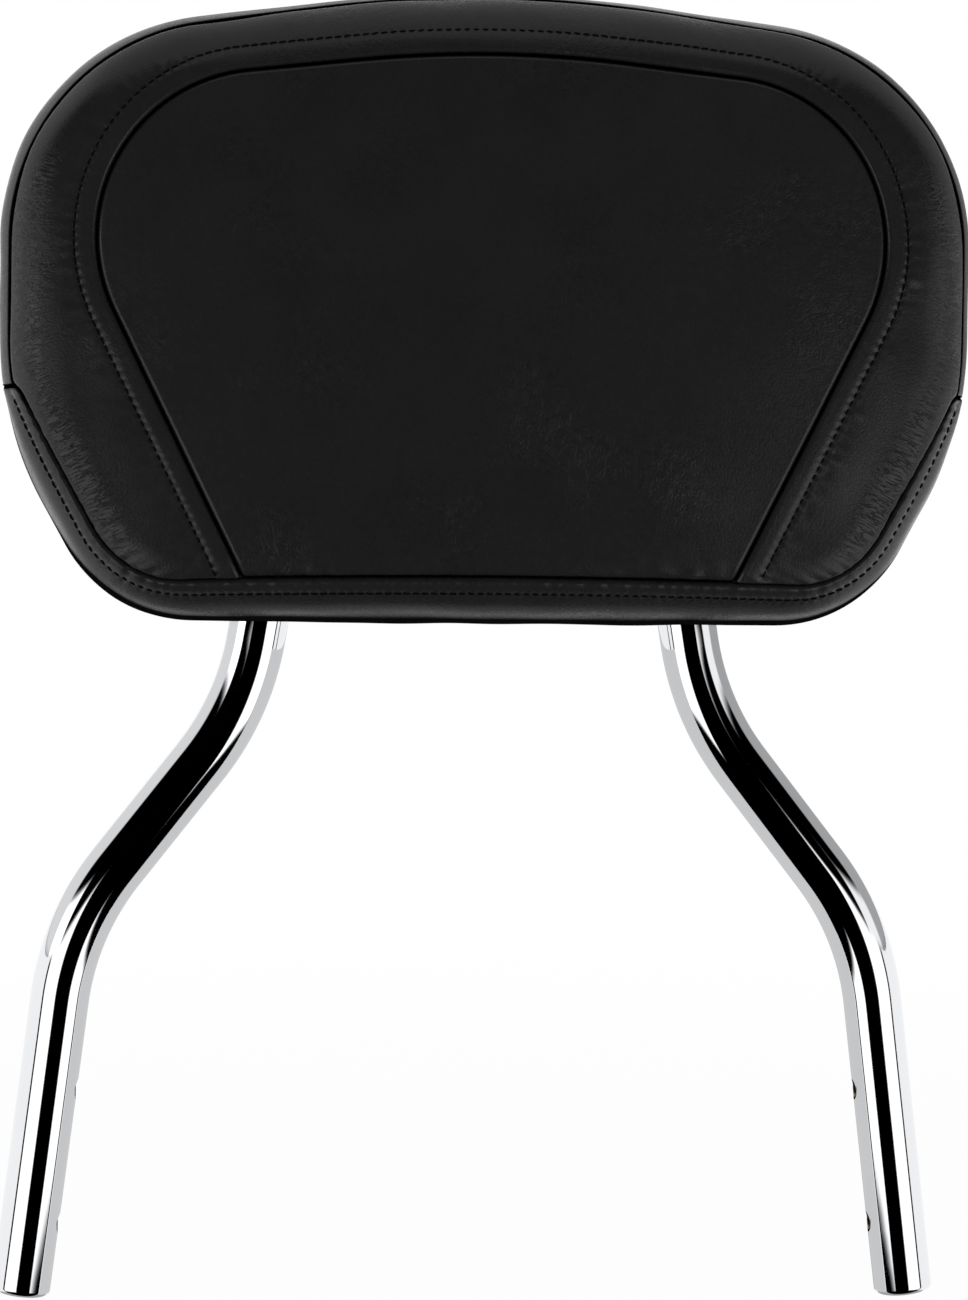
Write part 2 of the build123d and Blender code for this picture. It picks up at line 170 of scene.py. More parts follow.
class Finishes(bpy.types.PropertyGroup):
    """Colours of the finishes"""

    chrome: colour("Chrome", "Chrome plate", (0.86, 0.87, 0.89))
    vinyl: colour("Vinyl", "Black grained vinyl", (0.0125, 0.0122, 0.0125))
    thread: colour("Thread", "Black sewing thread", (0.002, 0.002, 0.002))
    plastic: colour("Plastic", "Black moulded plastic", (0.018, 0.018, 0.019))
    zinc: colour("Zinc", "Zinc-plated steel", (0.62, 0.63, 0.64))
    steel: colour("Steel", "Bare steel", (0.33, 0.25, 0.19))
    brass: colour("Brass", "Brass inserts", (0.66, 0.48, 0.22))
    foam: colour("Foam", "Grey foam", (0.20, 0.20, 0.21))


class StageSettings(bpy.types.PropertyGroup):
    """Camera, floor and light"""

    distance: length("Distance", "Camera to the hoop's plane", 1450.0)
    azimuth: angle("Azimuth", "Camera's turn round the bar, to the right", -4.23)
    elevation: angle("Elevation", "Camera's rise", 4.41)
    roll: angle("Roll", "Camera's roll", 0.79)
    aim_x: length("Aim across", "Point the camera looks at", 3.44)
    aim_z: length("Aim height", "Point the camera looks at", 186.85)
    lens: level("Lens", "Focal length", 123.67, unit="CAMERA")
    softbox: level("Softboxes", "Watts of each softbox", 6.0)
    softbox_glow: level("Softbox glow", "Low softboxes in reflections", 1.35)
    left_glow: level("Left glow", "Left high softbox in reflections", 1.9)
    right_glow: level("Right glow", "Right high softbox in reflections", 1.0)
    ground_glow: share("Ground glow", "Brightness of the ground behind, in reflections", 0.4)
    roof_glow: share("Roof glow", "Brightness of the tent's roof in reflections", 0.45)
    rear_glow: share("Rear glow", "Brightness right behind the bar, in reflections", 0.45)
    card_glow: share("Card glow", "Brightness of the card between the legs", 0.65)
    ambient: share("Ambient", "Strength of the light all round", 0.25)
    floor: colour("Floor", "Floor", (0.92, 0.92, 0.92))


def settings():
    """The scene's property groups."""
    return bpy.context.scene.sissy_bar


# Lines in a plane


def unit(vectors):
    """Vectors at length one."""
    return vectors / np.maximum(np.linalg.norm(vectors, axis=-1, keepdims=True), 1e-12)


def left_of(vectors):
    """Plane vectors a quarter turn to the left."""
    return np.stack([-vectors[..., 1], vectors[..., 0]], -1)


def across(a, b):
    """Cross product of plane vectors."""
    return a[..., 0] * b[..., 1] - a[..., 1] * b[..., 0]


def smooth(values, low, high):
    """0 below low, 1 above high and an S between them."""
    x = np.clip((values - low) / (high - low), 0, 1)
    return x * x * (3 - 2 * x)


def in_runs(*runs):
    """Values in runs that follow each other, each (from, to, count), where they meet kept once."""
    steps = [np.linspace(*run)[:-1] for run in runs[:-1]]
    return np.concatenate([*steps, np.linspace(*runs[-1])])


def hump(values, middle, width):
    """1 at the middle and a bell's fall on both sides."""
    return np.exp(-(((values - middle) / width) ** 2))


def running(path):
    """Length along a path up to each of its points."""
    steps = np.linalg.norm(np.diff(path, axis=0), axis=-1)
    return np.concatenate([[0], np.cumsum(steps)])


def evenly(path, count):
    """Points spread evenly along a path by its running length, both ends kept."""
    run = running(path)
    at = np.linspace(0, run[-1], count)
    return np.stack([np.interp(at, run, path[:, k]) for k in range(path.shape[1])], -1)


def rounded(corners, radii, closed=False):
    """Straight runs between corners, each corner an arc of its radius that touches both runs.

    An arc's centre lies on the corner's bisector at radius / sin(half the corner's angle).
    A closed path ends on its first point.
    """
    corners = np.asarray(corners, float)
    last = len(corners) - 1
    runs = []
    for i, radius in enumerate(radii):
        here = corners[i]
        if radius == 0 or (not closed and i in (0, last)):
            runs.append(here[None])
            continue
        back = unit(corners[i - 1] - here)
        on = unit(corners[(i + 1) % len(corners)] - here)
        half = 0.5 * np.arccos(np.clip(back @ on, -1, 1))
        centre = here + unit(back + on) * radius / np.sin(half)
        start = here + back * radius / np.tan(half) - centre
        turn = (np.pi - 2 * half) * np.sign(across(-back, on))
        bend = np.linspace(0, turn, 2 + int(abs(turn) * 90))[:, None]
        runs.append(centre + start * np.cos(bend) + left_of(start) * np.sin(bend))
    path = np.vstack(runs)
    return np.vstack([path, path[:1]]) if closed else path


def headings(path, closed=False):
    """Unit directions along an evenly spaced path."""
    if closed:
        ring = path[:-1]
        ahead = np.roll(ring, -1, 0) - np.roll(ring, 1, 0)
        return unit(np.vstack([ahead, ahead[:1]]))
    return unit(np.gradient(path, axis=0))


def nearest(points, path):
    """Each point's distance from a path of close points, and the running length there."""
    flat = points.reshape(-1, 2)
    ahead = headings(path)
    run = running(path)
    gaps = []
    places = []
    for block in np.array_split(flat, 1 + len(flat) // 3000):
        square = (block**2).sum(1)[:, None] + (path**2).sum(1) - 2 * block @ path.T
        at = square.argmin(1)
        offset = block - path[at]
        slide = np.clip((offset * ahead[at]).sum(1), -MM, MM)
        gaps.append(np.sqrt(np.maximum((offset**2).sum(1) - slide**2, 0)))
        places.append(run[at] + slide)
    shape = points.shape[:-1]
    return np.concatenate(gaps).reshape(shape), np.concatenate(places).reshape(shape)


def ray_reach(origins, rays, path):
    """How far each ray runs to its first crossing of a closed path: o + t r = a + u s."""
    sides = np.diff(path, axis=0)
    gap = path[None, :-1] - origins[:, None]
    turn = across(rays[:, None], sides[None])
    turn = np.where(np.abs(turn) < 1e-15, 1e-15, turn)
    t = across(gap, sides[None]) / turn
    u = across(gap, rays[:, None]) / turn
    return np.where((t > 1e-7) & (u >= -1e-6) & (u <= 1 + 1e-6), t, np.inf).min(1)


def waves(points, size, seed, count=36):
    """Smooth random relief: sine waves about one size long, in seeded random directions."""
    random = np.random.default_rng(seed)
    heading = unit(random.normal(size=(count, points.shape[-1])))
    beat = 2 * np.pi / size * random.uniform(0.6, 1.5, count)
    phase = random.uniform(0, 2 * np.pi, count)
    total = np.zeros(points.shape[:-1])
    for way, rate, start in zip(heading, beat, phase):
        total += np.sin(points @ way * rate + start)
    return total / np.sqrt(count / 2)


def waves_along(run, size, seed):
    """Smooth random relief along a line, the same right across it; one row."""
    return waves(np.stack([run / size, 0 * run], -1), 1.0, seed)[None]


# Meshes


def grid_faces(rows, cols, around=False, start=0):
    """Quads of a grid of points in rows and columns, joined round on itself if asked."""
    index = start + np.arange(rows * cols).reshape(rows, cols)
    if around:
        index = np.hstack([index, index[:, :1]])
    corners = [index[:-1, :-1], index[:-1, 1:], index[1:, 1:], index[1:, :-1]]
    return np.stack(corners, -1).reshape(-1, 4)


def piece_from(name, points, quads, material, stands_for=(), attributes=None, sharp=None):
    """A finished piece: points and quads put in a mesh, doubles merged, riding on the frame."""
    mesh = bpy.data.meshes.new(name)
    mesh.vertices.add(len(points))
    mesh.vertices.foreach_set("co", np.asarray(points, np.float32).ravel())
    mesh.loops.add(quads.size)
    mesh.loops.foreach_set("vertex_index", np.asarray(quads, np.int32).ravel())
    mesh.polygons.add(len(quads))
    mesh.polygons.foreach_set("loop_start", np.arange(0, quads.size, 4, dtype=np.int32))
    for key, values in (attributes or {}).items():
        layer = mesh.attributes.new(key, "FLOAT", "POINT")
        layer.data.foreach_set("value", np.asarray(values, np.float32).ravel())
    mesh.update(calc_edges=True)
    work = bmesh.new()
    work.from_mesh(mesh)
    bmesh.ops.remove_doubles(work, verts=work.verts, dist=1e-6)
    bmesh.ops.dissolve_degenerate(work, dist=1e-7, edges=work.edges)
    work.to_mesh(mesh)
    work.free()
    mesh.validate()
    mesh.shade_smooth()
    if sharp:
        mesh.set_sharp_from_angle(angle=sharp)
    mesh.materials.append(material)
    piece = bpy.data.objects.new(name, mesh)
    bpy.context.scene.collection.objects.link(piece)
    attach(piece, "root")
    if stands_for:
        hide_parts(*stands_for)
    return piece


def grid_normals(points):
    """Unit normals of a grid of points, from the steps along its rows and columns."""
    return unit(np.cross(np.gradient(points, axis=1), np.gradient(points, axis=0)))


def turned_to(ways, points, quads):
    """Quads with their corners in the order that makes most of them face the ways given."""
    a, b, c = (points[quads[:, k]] for k in range(3))
    return quads if (np.cross(b - a, c - a) * ways).sum() > 0 else quads[:, ::-1]


# Finishes


def fill(tree, node, inputs):
    """Sets a node's inputs to values, or joins them to sockets."""
    for key, value in inputs.items():
        if isinstance(value, bpy.types.NodeSocket):
            tree.links.new(value, node.inputs[key])
        else:
            node.inputs[key].default_value = value


def new_node(tree, kind, inputs=None, **options):
    """A node added to a tree."""
    node = tree.nodes.new(kind)
    for key, value in options.items():
        setattr(node, key, value)
    fill(tree, node, inputs or {})
    return node


def tint(shade, factor):
    """A colour made lighter or darker."""
    return tuple(min(1.0, c * factor) for c in shade)


def kept(name, make):
    """A finish that several pieces share, made once."""
    return bpy.data.materials.get(name) or make()


class Finish:
    """A material with a principled shader, and short ways to build it up."""

    def __init__(self, name):
        self.material = bpy.data.materials.new(name)
        self.material.use_nodes = True
        self.tree = self.material.node_tree
        self.place = self.add("ShaderNodeTexCoord").outputs["Object"]
        self.normal = None

    def add(self, kind, inputs=None, **options):
        """A further node."""
        return new_node(self.tree, kind, inputs, **options)

    def noise(self, scale, detail, vector=None, output="Fac", **inputs):
        """Soft random pattern."""
        vector = self.place if vector is None else vector
        inputs = {"Vector": vector, "Scale": scale, "Detail": detail, **inputs}
        return self.add("ShaderNodeTexNoise", inputs).outputs[output]

    def cells(self, scale, feature, vector=None):
        """Distances in a pattern of cells."""
        vector = self.place if vector is None else vector
        inputs = {"Vector": vector, "Scale": scale}
        return self.add("ShaderNodeTexVoronoi", inputs, feature=feature).outputs["Distance"]

    def stripes(self, direction, **inputs):
        """Waves across a direction."""
        inputs = {"Vector": self.place, **inputs}
        return self.add("ShaderNodeTexWave", inputs, bands_direction=direction).outputs["Fac"]

    def stretched(self, vector, scale):
        """Coordinates scaled by a factor for each axis."""
        return self.add("ShaderNodeMapping", {"Vector": vector, "Scale": scale}).outputs["Vector"]

    def attribute(self, name):
        """One of the piece's own attributes."""
        return self.add("ShaderNodeAttribute", attribute_name=name).outputs["Fac"]

    def times(self, value, factor):
        """A value times a factor."""
        inputs = {0: value, 1: factor}
        return self.add("ShaderNodeMath", inputs, operation="MULTIPLY").outputs["Value"]

    def mix(self, factor, first, second, kind="MIX"):
        """Two colours put together."""
        inputs = {"Fac": factor, "Color1": first, "Color2": second}
        return self.add("ShaderNodeMixRGB", inputs, blend_type=kind).outputs["Color"]

    def ramp(self, value, *stops):
        """A colour ramp over a value, stops given as (place, grey or colour)."""
        node = self.add("ShaderNodeValToRGB", {"Fac": value})
        band = node.color_ramp
        while len(band.elements) < len(stops):
            band.elements.new(0.5)
        for element, (place, tone) in zip(band.elements, stops):
            element.position = place
            shade = tone if isinstance(tone, tuple) else (tone, tone, tone)
            element.color = (*shade, 1)
        return node.outputs["Color"]

    def lines(self, value, half):
        """Fine dark lines where a pattern passes its middle."""
        return self.ramp(value, (0.5 - half, 1.0), (0.5, 0.0), (0.5 + half, 1.0))

    def bump(self, height, strength, distance):
        """Relief laid over what there is."""
        inputs = {"Height": height, "Strength": strength, "Distance": distance}
        if self.normal:
            inputs["Normal"] = self.normal
        self.normal = self.add("ShaderNodeBump", inputs).outputs["Normal"]

    def done(self, inputs):
        """The material, with the shader's inputs and the relief joined up."""
        shader = self.tree.nodes["Principled BSDF"]
        fill(self.tree, shader, {"Normal": self.normal, **inputs})
        return self.material


def chrome_finish(name="polished_chrome", ripple=0.0):
    """Bright plate: faint wipe marks in its gloss and a slight unevenness under it."""
    finish = Finish(name)
    base = tuple(settings().finishes.chrome)
    wipes = finish.noise(60, 4, finish.stretched(finish.place, (1, 1, 0.25)))
    finish.bump(finish.noise(90, 1), 0.04, 0.4 * MM)
    if ripple:
        beads = finish.stripes("Z", Scale=70, Distortion=1.5, Detail=1)
        finish.bump(beads, ripple, 0.6 * MM)
    return finish.done(
        {
            "Metallic": 1,
            "Base Color": finish.ramp(finish.noise(25, 2), (0.3, tint(base, 0.97)), (0.7, base)),
            "Roughness": finish.ramp(wipes, (0.35, 0.028), (0.75, 0.06)),
        }
    )


def vinyl_finish():
    """Black vinyl with a printed hide grain: small cells parted by fine lines, folds in patches,
    longer creases where the cover is rolled over an edge, and a soft variation in gloss."""
    finish = Finish("grained_vinyl")
    base = tuple(settings().finishes.vinyl)
    drift = finish.noise(160, 3, output="Color")
    shifted = finish.mix(0.0012, finish.place, drift, "ADD")
    cells = finish.cells(780, "DISTANCE_TO_EDGE", shifted)
    finish.bump(finish.ramp(cells, (0.0, 0.0), (0.16, 1.0)), 0.12, 0.16 * MM)
    finish.bump(finish.noise(2600, 2), 0.08, 0.1 * MM)
    folds = finish.lines(finish.noise(330, 3, shifted, Distortion=1.2), 0.06)
    folded = finish.ramp(finish.noise(26, 3), (0.46, 0.0), (0.68, 1.0))
    finish.bump(folds, finish.times(folded, 0.26), 0.3 * MM)
    spread = {"X": finish.attribute("along"), "Y": finish.attribute("over")}
    spread = finish.add("ShaderNodeCombineXYZ", spread).outputs["Vector"]
    creases = finish.noise(1, 3, finish.stretched(spread, (900, 170, 1)), Distortion=0.6)
    crease_strength = finish.times(finish.attribute("rolled"), 0.65)
    finish.bump(finish.lines(creases, 0.045), crease_strength, 0.5 * MM)
    tones = finish.ramp(finish.noise(45, 4), (0.3, tint(base, 0.93)), (0.7, tint(base, 1.07)))
    # Painted shade in the folds: in patches, their lines darken the colour.
    fold_shaded_tones = finish.mix(finish.times(folded, 0.25), tones, folds, "MULTIPLY")
    # Painted shade: this attribute darkens the colour towards black and takes the gloss away, in
    # the seams and along the lower band's rim.
    painted_shade = finish.attribute("painted_shade")
    shine = {"Value": painted_shade, "From Max": 0.75, "To Min": 0.36, "To Max": 0.0}
    return finish.done(
        {
            "Base Color": finish.mix(painted_shade, fold_shaded_tones, (0, 0, 0, 1)),
            "Roughness": finish.ramp(finish.noise(420, 4), (0.3, 0.21), (0.7, 0.30)),
            "Specular IOR Level": finish.add("ShaderNodeMapRange", shine).outputs["Result"],
        }
    )


def thread_finish():
    """Bonded thread: dark strands twisted round each other."""
    finish = Finish("bonded_thread")
    base = tuple(settings().finishes.thread)
    twist = finish.stripes("DIAGONAL", Scale=900, Distortion=1)
    finish.bump(twist, 0.5, 0.1 * MM)
    return finish.done(
        {
            # The twist's stripes also set the colour: painted shade in the grooves between the
            # strands, and a painted sheen on their crests.
            "Base Color": finish.ramp(twist, (0.2, tint(base, 0.6)), (0.8, tint(base, 1.8))),
            "Roughness": 0.7,
            "Specular IOR Level": 0.05,
        }
    )


def plastic_finish():
    """Moulded plastic with a fine spark-eroded texture."""
    finish = Finish("moulded_plastic")
    base = tuple(settings().finishes.plastic)
    finish.bump(finish.cells(1100, "SMOOTH_F1"), 0.35, 0.15 * MM)
    finish.bump(finish.noise(2200, 3), 0.3, 0.1 * MM)
    tone = finish.noise(30, 4)
    return finish.done(
        {
            "Base Color": finish.ramp(tone, (0.3, tint(base, 0.85)), (0.7, tint(base, 1.2))),
            "Roughness": finish.ramp(tone, (0.3, 0.5), (0.7, 0.6)),
        }
    )


def metal_finish(name, base, rough, marks):
    """Plain metal: turning marks in its gloss and cloudy patches in its colour."""
    finish = Finish(name)
    cloud = finish.noise(240, 5)
    finish.bump(finish.noise(1800, 3), 0.15, 0.1 * MM)
    tones = (0.3, tint(base, 1 - marks)), (0.7, tint(base, 1 + marks))
    return finish.done(
        {
            "Metallic": 1,
            "Base Color": finish.ramp(cloud, *tones),
            "Roughness": finish.ramp(cloud, (0.3, rough * 0.8), (0.7, rough * 1.3)),
        }
    )


def foam_finish():
    """Open-cell foam: pits of several sizes."""
    finish = Finish("open_foam")
    base = tuple(settings().finishes.foam)
    pits = finish.cells(900, "F1")
    finish.bump(pits, 0.8, 0.6 * MM)
    # Painted shade in the pits: the colour is darker towards each pit's bottom.
    tones = finish.ramp(pits, (0.1, tint(base, 0.5)), (0.6, base))
    return finish.done({"Base Color": tones, "Roughness": 0.95})


# Hoop


def hoop_line(sizes):
    """The tube's centre line in the hoop's plane, from the right leg's end to the left one's."""
    def leg_x(height):
        return sizes.hole_span / 2 - height * np.tan(sizes.leg_lean)

    knee_x = leg_x(sizes.lower_knee)
    neck_x = knee_x - (sizes.upper_knee - sizes.lower_knee) * np.tan(sizes.diagonal_lean)
    arch_x = neck_x - (sizes.height - sizes.upper_knee) * np.tan(sizes.upright_lean)
    foot = -sizes.tail * np.cos(sizes.leg_lean)
    right = [
        (leg_x(foot), foot),
        (knee_x, sizes.lower_knee),
        (neck_x, sizes.upper_knee),
        (arch_x, sizes.height),
    ]
    left = [(-x, z) for x, z in reversed(right)]
    bends = [0, sizes.knee_radius, sizes.knee_radius, sizes.arch_radius]
    return rounded(right + left, bends + bends[::-1])


def tube_surface(line, run, at, turn, radius):
    """Point on a tube: c(s) + r (cos a n(s) + sin a y), c its centre line, n its side, y across."""
    x = np.interp(at, run, line[:, 0])
    z = np.interp(at, run, line[:, 1])
    ahead = headings(line)
    tx = np.interp(at, run, ahead[:, 0])
    tz = np.interp(at, run, ahead[:, 1])
    size = np.sqrt(tx**2 + tz**2)
    nx, nz = -tz / size, tx / size
    reach = radius * np.cos(turn)
    return np.stack([x + reach * nx, radius * np.sin(turn) + 0 * x, z + reach * nz], -1)


def hole_patch(line, run, middle, half, turns, sizes):
    """A patch of tube with a round hole: rings that grow from the hole's rim to the patch's edge.

    The rim is the circle y = h cos b, z = height + h sin b carried onto the tube.
    """
    edge_at = middle + np.linspace(-half, half, len(turns))
    ends = [
        np.stack([edge_at[:-1], np.full(len(turns) - 1, turns[0])], -1),
        np.stack([np.full(len(turns) - 1, edge_at[-1]), turns[:-1]], -1),
        np.stack([edge_at[:0:-1], np.full(len(turns) - 1, turns[-1])], -1),
        np.stack([np.full(len(turns) - 1, edge_at[0]), turns[:0:-1]], -1),
    ]
    edge = np.vstack(ends)
    tube = sizes.tube / 2
    facing = turns[len(turns) // 2]
    bearing = np.arctan2((edge[:, 1] - facing) * tube, edge[:, 0] - middle)
    rim_y = sizes.hole / 2 * np.sin(bearing) * np.cos(facing)
    rim_turn = facing + np.arcsin(rim_y / tube) * np.cos(facing)
    rim_at = middle + sizes.hole / 2 * np.cos(bearing)
    rim = np.stack([rim_at, rim_turn], -1)
    grow = (np.linspace(0, 1, 9) ** 1.4)[:, None, None]
    rings = rim + (edge - rim) * grow
    return tube_surface(line, run, rings[..., 0], rings[..., 1], tube)


class SISSY_OT_hoop(bpy.types.Operator):
    """Make the bent tube, with the mouths of its tapped holes"""

    bl_idname = "sissy.hoop"
    bl_label = "Hoop tube"

    def execute(self, context):
        sizes = settings().hoop
        line = evenly(hoop_line(sizes), 6001)
        run = running(line)
        total = run[-1]
        segments = 72
        step = 1.6 * MM
        turns = np.linspace(0, 2 * np.pi, segments, endpoint=False)
        half_cells = 7
        half = half_cells * np.pi * sizes.tube / segments
        near_end = [sizes.tail, sizes.tail + sizes.hole_pitch]
        middles = [*near_end, *[total - at for at in near_end]]
        marks = [0.0, total]
        for middle in middles:
            marks += [middle - half, middle + half]
        marks = np.unique(np.array(marks))
        stations = []
        for a, b in zip(marks[:-1], marks[1:]):
            at_hole = b - a < 2.01 * half
            count = 2 * half_cells + 1 if at_hole else max(4, int((b - a) / step))
            stations.append(np.linspace(a, b, count)[:-1])
        at = np.append(np.concatenate(stations), total)
        skin = tube_surface(line, run, at[:, None], turns[None], sizes.tube / 2)
        ends = tube_surface(line, run, np.array([[0], [total]]), turns[None], sizes.bore / 2)
        skin = np.concatenate([ends[:1], skin, ends[1:]])
        quads = grid_faces(len(skin), segments, around=True)
        keep = np.ones(len(quads), bool)
        row_mid = np.repeat(np.concatenate([[-1], 0.5 * (at[:-1] + at[1:]), [-1]]), segments)
        col = np.tile(np.arange(segments), len(skin) - 1)
        points = [skin.reshape(-1, 3)]
        faces = []
        start = len(points[0])
        for middle in middles:
            inner = self.inner_side(line, run, middle, turns[0], sizes)
            facing_col = 0 if inner else segments // 2
            cells_off = (col + 0.5 - facing_col + segments / 2) % segments - segments / 2
            keep &= (np.abs(cells_off) >= half_cells) | (np.abs(row_mid - middle) >= half)
            window = turns[facing_col] + np.arange(-half_cells, half_cells + 1) * turns[1]
            patch = hole_patch(line, run, middle, half, window, sizes)
            rings, cols = patch.shape[:2]
            faces.append(grid_faces(rings, cols, around=True, start=start)[:, ::-1])
            points.append(patch.reshape(-1, 3))
            start += rings * cols
        quads = np.vstack([quads[keep], *faces])
        points = np.vstack(points)
        chrome = kept("polished_chrome", chrome_finish)
        piece_from("hoop", points, quads, chrome, ["hoop_tube"], sharp=0.9)
        return {"FINISHED"}

    @staticmethod
    def inner_side(line, run, at, turn, sizes):
        """Whether the tube's side at a turn faces the bar's middle."""
        here = tube_surface(line, run, np.array([at]), np.array([turn]), sizes.tube / 2)[0, 0]
        return abs(here) < abs(np.interp(at, run, line[:, 0]))


class SISSY_OT_bungs(bpy.types.Operator):
    """Make the four tapped bungs whose mouths show in the legs"""

    bl_idname = "sissy.bungs"
    bl_label = "Tapped bungs"

    def execute(self, context):
        sizes = settings().hoop
        steel = metal_finish("dark_steel", tuple(settings().finishes.steel), 0.5, 0.35)
        turn = np.linspace(0, 2 * np.pi, 48, endpoint=False)[None]
        tube = sizes.tube / 2
        rim = sizes.hole / 2 + 0.25 * MM
        deep = 11 * MM
        depth = np.linspace(0.6 * MM, deep, 90)[:, None]
        thread = np.abs((depth / sizes.thread_pitch + turn / (2 * np.pi)) % 1 - 0.5) * 2
        bore = sizes.thread / 2 + 0.45 * MM * thread
        heights = {"lower": 0.0, "upper": sizes.hole_pitch * np.cos(sizes.leg_lean)}
        for side_name, side in (("left", -1), ("right", 1)):
            for level, height in heights.items():
                axis_x = sizes.hole_span / 2 - height * np.tan(sizes.leg_lean)
                rim_y, rim_z = rim * np.cos(turn), rim * np.sin(turn)
                chord = np.sqrt(tube**2 - rim_y**2) / np.cos(sizes.leg_lean)
                rim_x = axis_x - rim_z * np.tan(sizes.leg_lean) - chord
                mouth = np.stack([rim_x + 0.05 * MM, rim_y, rim_z], -1)
                face = axis_x - tube / np.cos(sizes.leg_lean)
                sleeve = np.stack(
                    [face + depth + 0 * turn, bore * np.cos(turn), bore * np.sin(turn)], -1
                )
                end = np.broadcast_to([face + deep, 0, 0], (1, turn.size, 3))
                points = np.concatenate([mouth, sleeve, end])
                points = points * [side, 1, 1] + [0, 0, height]
                quads = grid_faces(len(points), turn.size, around=True)
                name = f"{side_name}_{level}_bung"
                piece_from(
                    f"{name}_thread",
                    points.reshape(-1, 3),
                    quads if side > 0 else quads[:, ::-1],
                    steel,
                    [name],
                    sharp=0.7,
                )
        return {"FINISHED"}


# Pad


def pad_outline(pad):
    """The pad's outline, clockwise seen from the front, from the top's peak; closed."""
    half = [
        (pad.half_width, pad.shoulder),
        (pad.half_width, pad.flank),
        (pad.bottom_half, pad.bottom),
    ]
    corners = [(0, pad.top), *half, *[(-x, z) for x, z in reversed(half)]]
    radii = [pad.shoulder_radius, pad.flank_radius, pad.bottom_radius]
    return evenly(rounded(corners, [pad.top_radius, *radii, *radii[::-1]], closed=True), 2401)


def crown_depth(pad, places):
    """Depth of the crowned front at plane points: front - (x^2 + z^2) / 2 R."""
    return PAD_FRONT - (places**2).sum(-1) / (2 * pad.crown)


def crown_slope(pad, places, out):
    """How steeply the crown falls outwards at points of the outline."""
    return (places * out).sum(-1) / pad.crown


def roll_centre(pad, crown, slope, inset):
    """Depth of the rolled edge's axis: a circle that touches the side wall and the crown."""
    return crown + slope * (pad.roll - inset) - pad.roll * np.sqrt(1 + slope**2)


def pad_point(pad, places, depth):
    """Row-frame points from plane points about the pad's centre and depths forward."""
    return np.stack([places[..., 0], -depth, places[..., 1] + pad.centre], -1)


def band_line(pad, cover):
    """The lower band's seam, from its right end round the bottom to its left end."""
    lean = np.arctan((pad.half_width - pad.bottom_half) / (pad.flank - pad.bottom))
    foot = pad.bottom + cover.band_inset
    start = cover.band_start
    start_x, foot_x = [
        pad.half_width - (pad.flank - z) * np.tan(lean) - cover.band_flank / np.cos(lean)
        for z in (start, foot)
    ]
    ends = [(start_x, start), (foot_x, foot), (-foot_x, foot), (-start_x, start)]
    radius = pad.bottom_radius - cover.band_inset
    line = evenly(rounded(ends, [0, radius, radius, 0]), 1200)
    bow = np.clip(1 - (line[:, 0] / (foot_x - 10 * MM)) ** 2, 0, 1)
    line[:, 1] += cover.band_bow * bow * smooth(-line[:, 1], 60 * MM, 75 * MM)
    return line


def front_edge(pad, cover, outline):
    """The line where the front of the cover ends: the edge seam above, the band's seam below."""
    out = left_of(headings(outline, closed=True))
    axis = roll_centre(pad, crown_depth(pad, outline), crown_slope(pad, outline, out), 0)
    rise = np.clip(PAD_FRONT - cover.edge_seam - axis, 0, pad.roll)
    inset = pad.roll - np.sqrt(pad.roll**2 - rise**2)
    seam = outline - out * np.maximum(inset, 0.3 * MM)[:, None]
    peak = np.flatnonzero(outline[:, 1] > cover.band_start)
    right = peak[peak < len(outline) // 2]
    left = peak[peak >= len(outline) // 2]
    path = evenly(np.vstack([seam[right], band_line(pad, cover), seam[left]]), 2401)
    kernel = np.exp(-0.5 * (np.arange(-12, 13) / 4) ** 2)
    kernel /= kernel.sum()
    ring = path[:-1]
    padded = np.vstack([ring[-12:], ring, ring[:12]])
    soft = np.stack([np.convolve(padded[:, k], kernel, "valid") for k in range(2)], -1)
    return np.vstack([soft, soft[:1]])


def panel_line(pad, cover, edge):
    """The centre panel's seam, from its left foot over the top to its right foot."""
    foot = pad.bottom + cover.band_inset
    slope = np.tan(cover.panel_lean)
    shoulder_x = cover.panel_foot + (cover.panel_shoulder - foot) * slope
    right = [
        (shoulder_x, cover.panel_shoulder),
        (cover.panel_foot - 4 * MM * slope, foot - 4 * MM),
    ]
    left = [(-x, z) for x, z in reversed(right)]
    corners = [*left, (0, cover.panel_top), *right]
    radii = [0, cover.panel_radius, cover.panel_top_radius, cover.panel_radius, 0]
    line = evenly(rounded(corners, radii), 4000)
    low = edge[(np.abs(edge[:, 0]) < 0.1) & (edge[:, 1] < 0)]
    order = np.argsort(low[:, 0])
    seam_z = np.interp(line[:, 0], low[order, 0], low[order, 1])
    return evenly(line[line[:, 1] > seam_z], 1201)


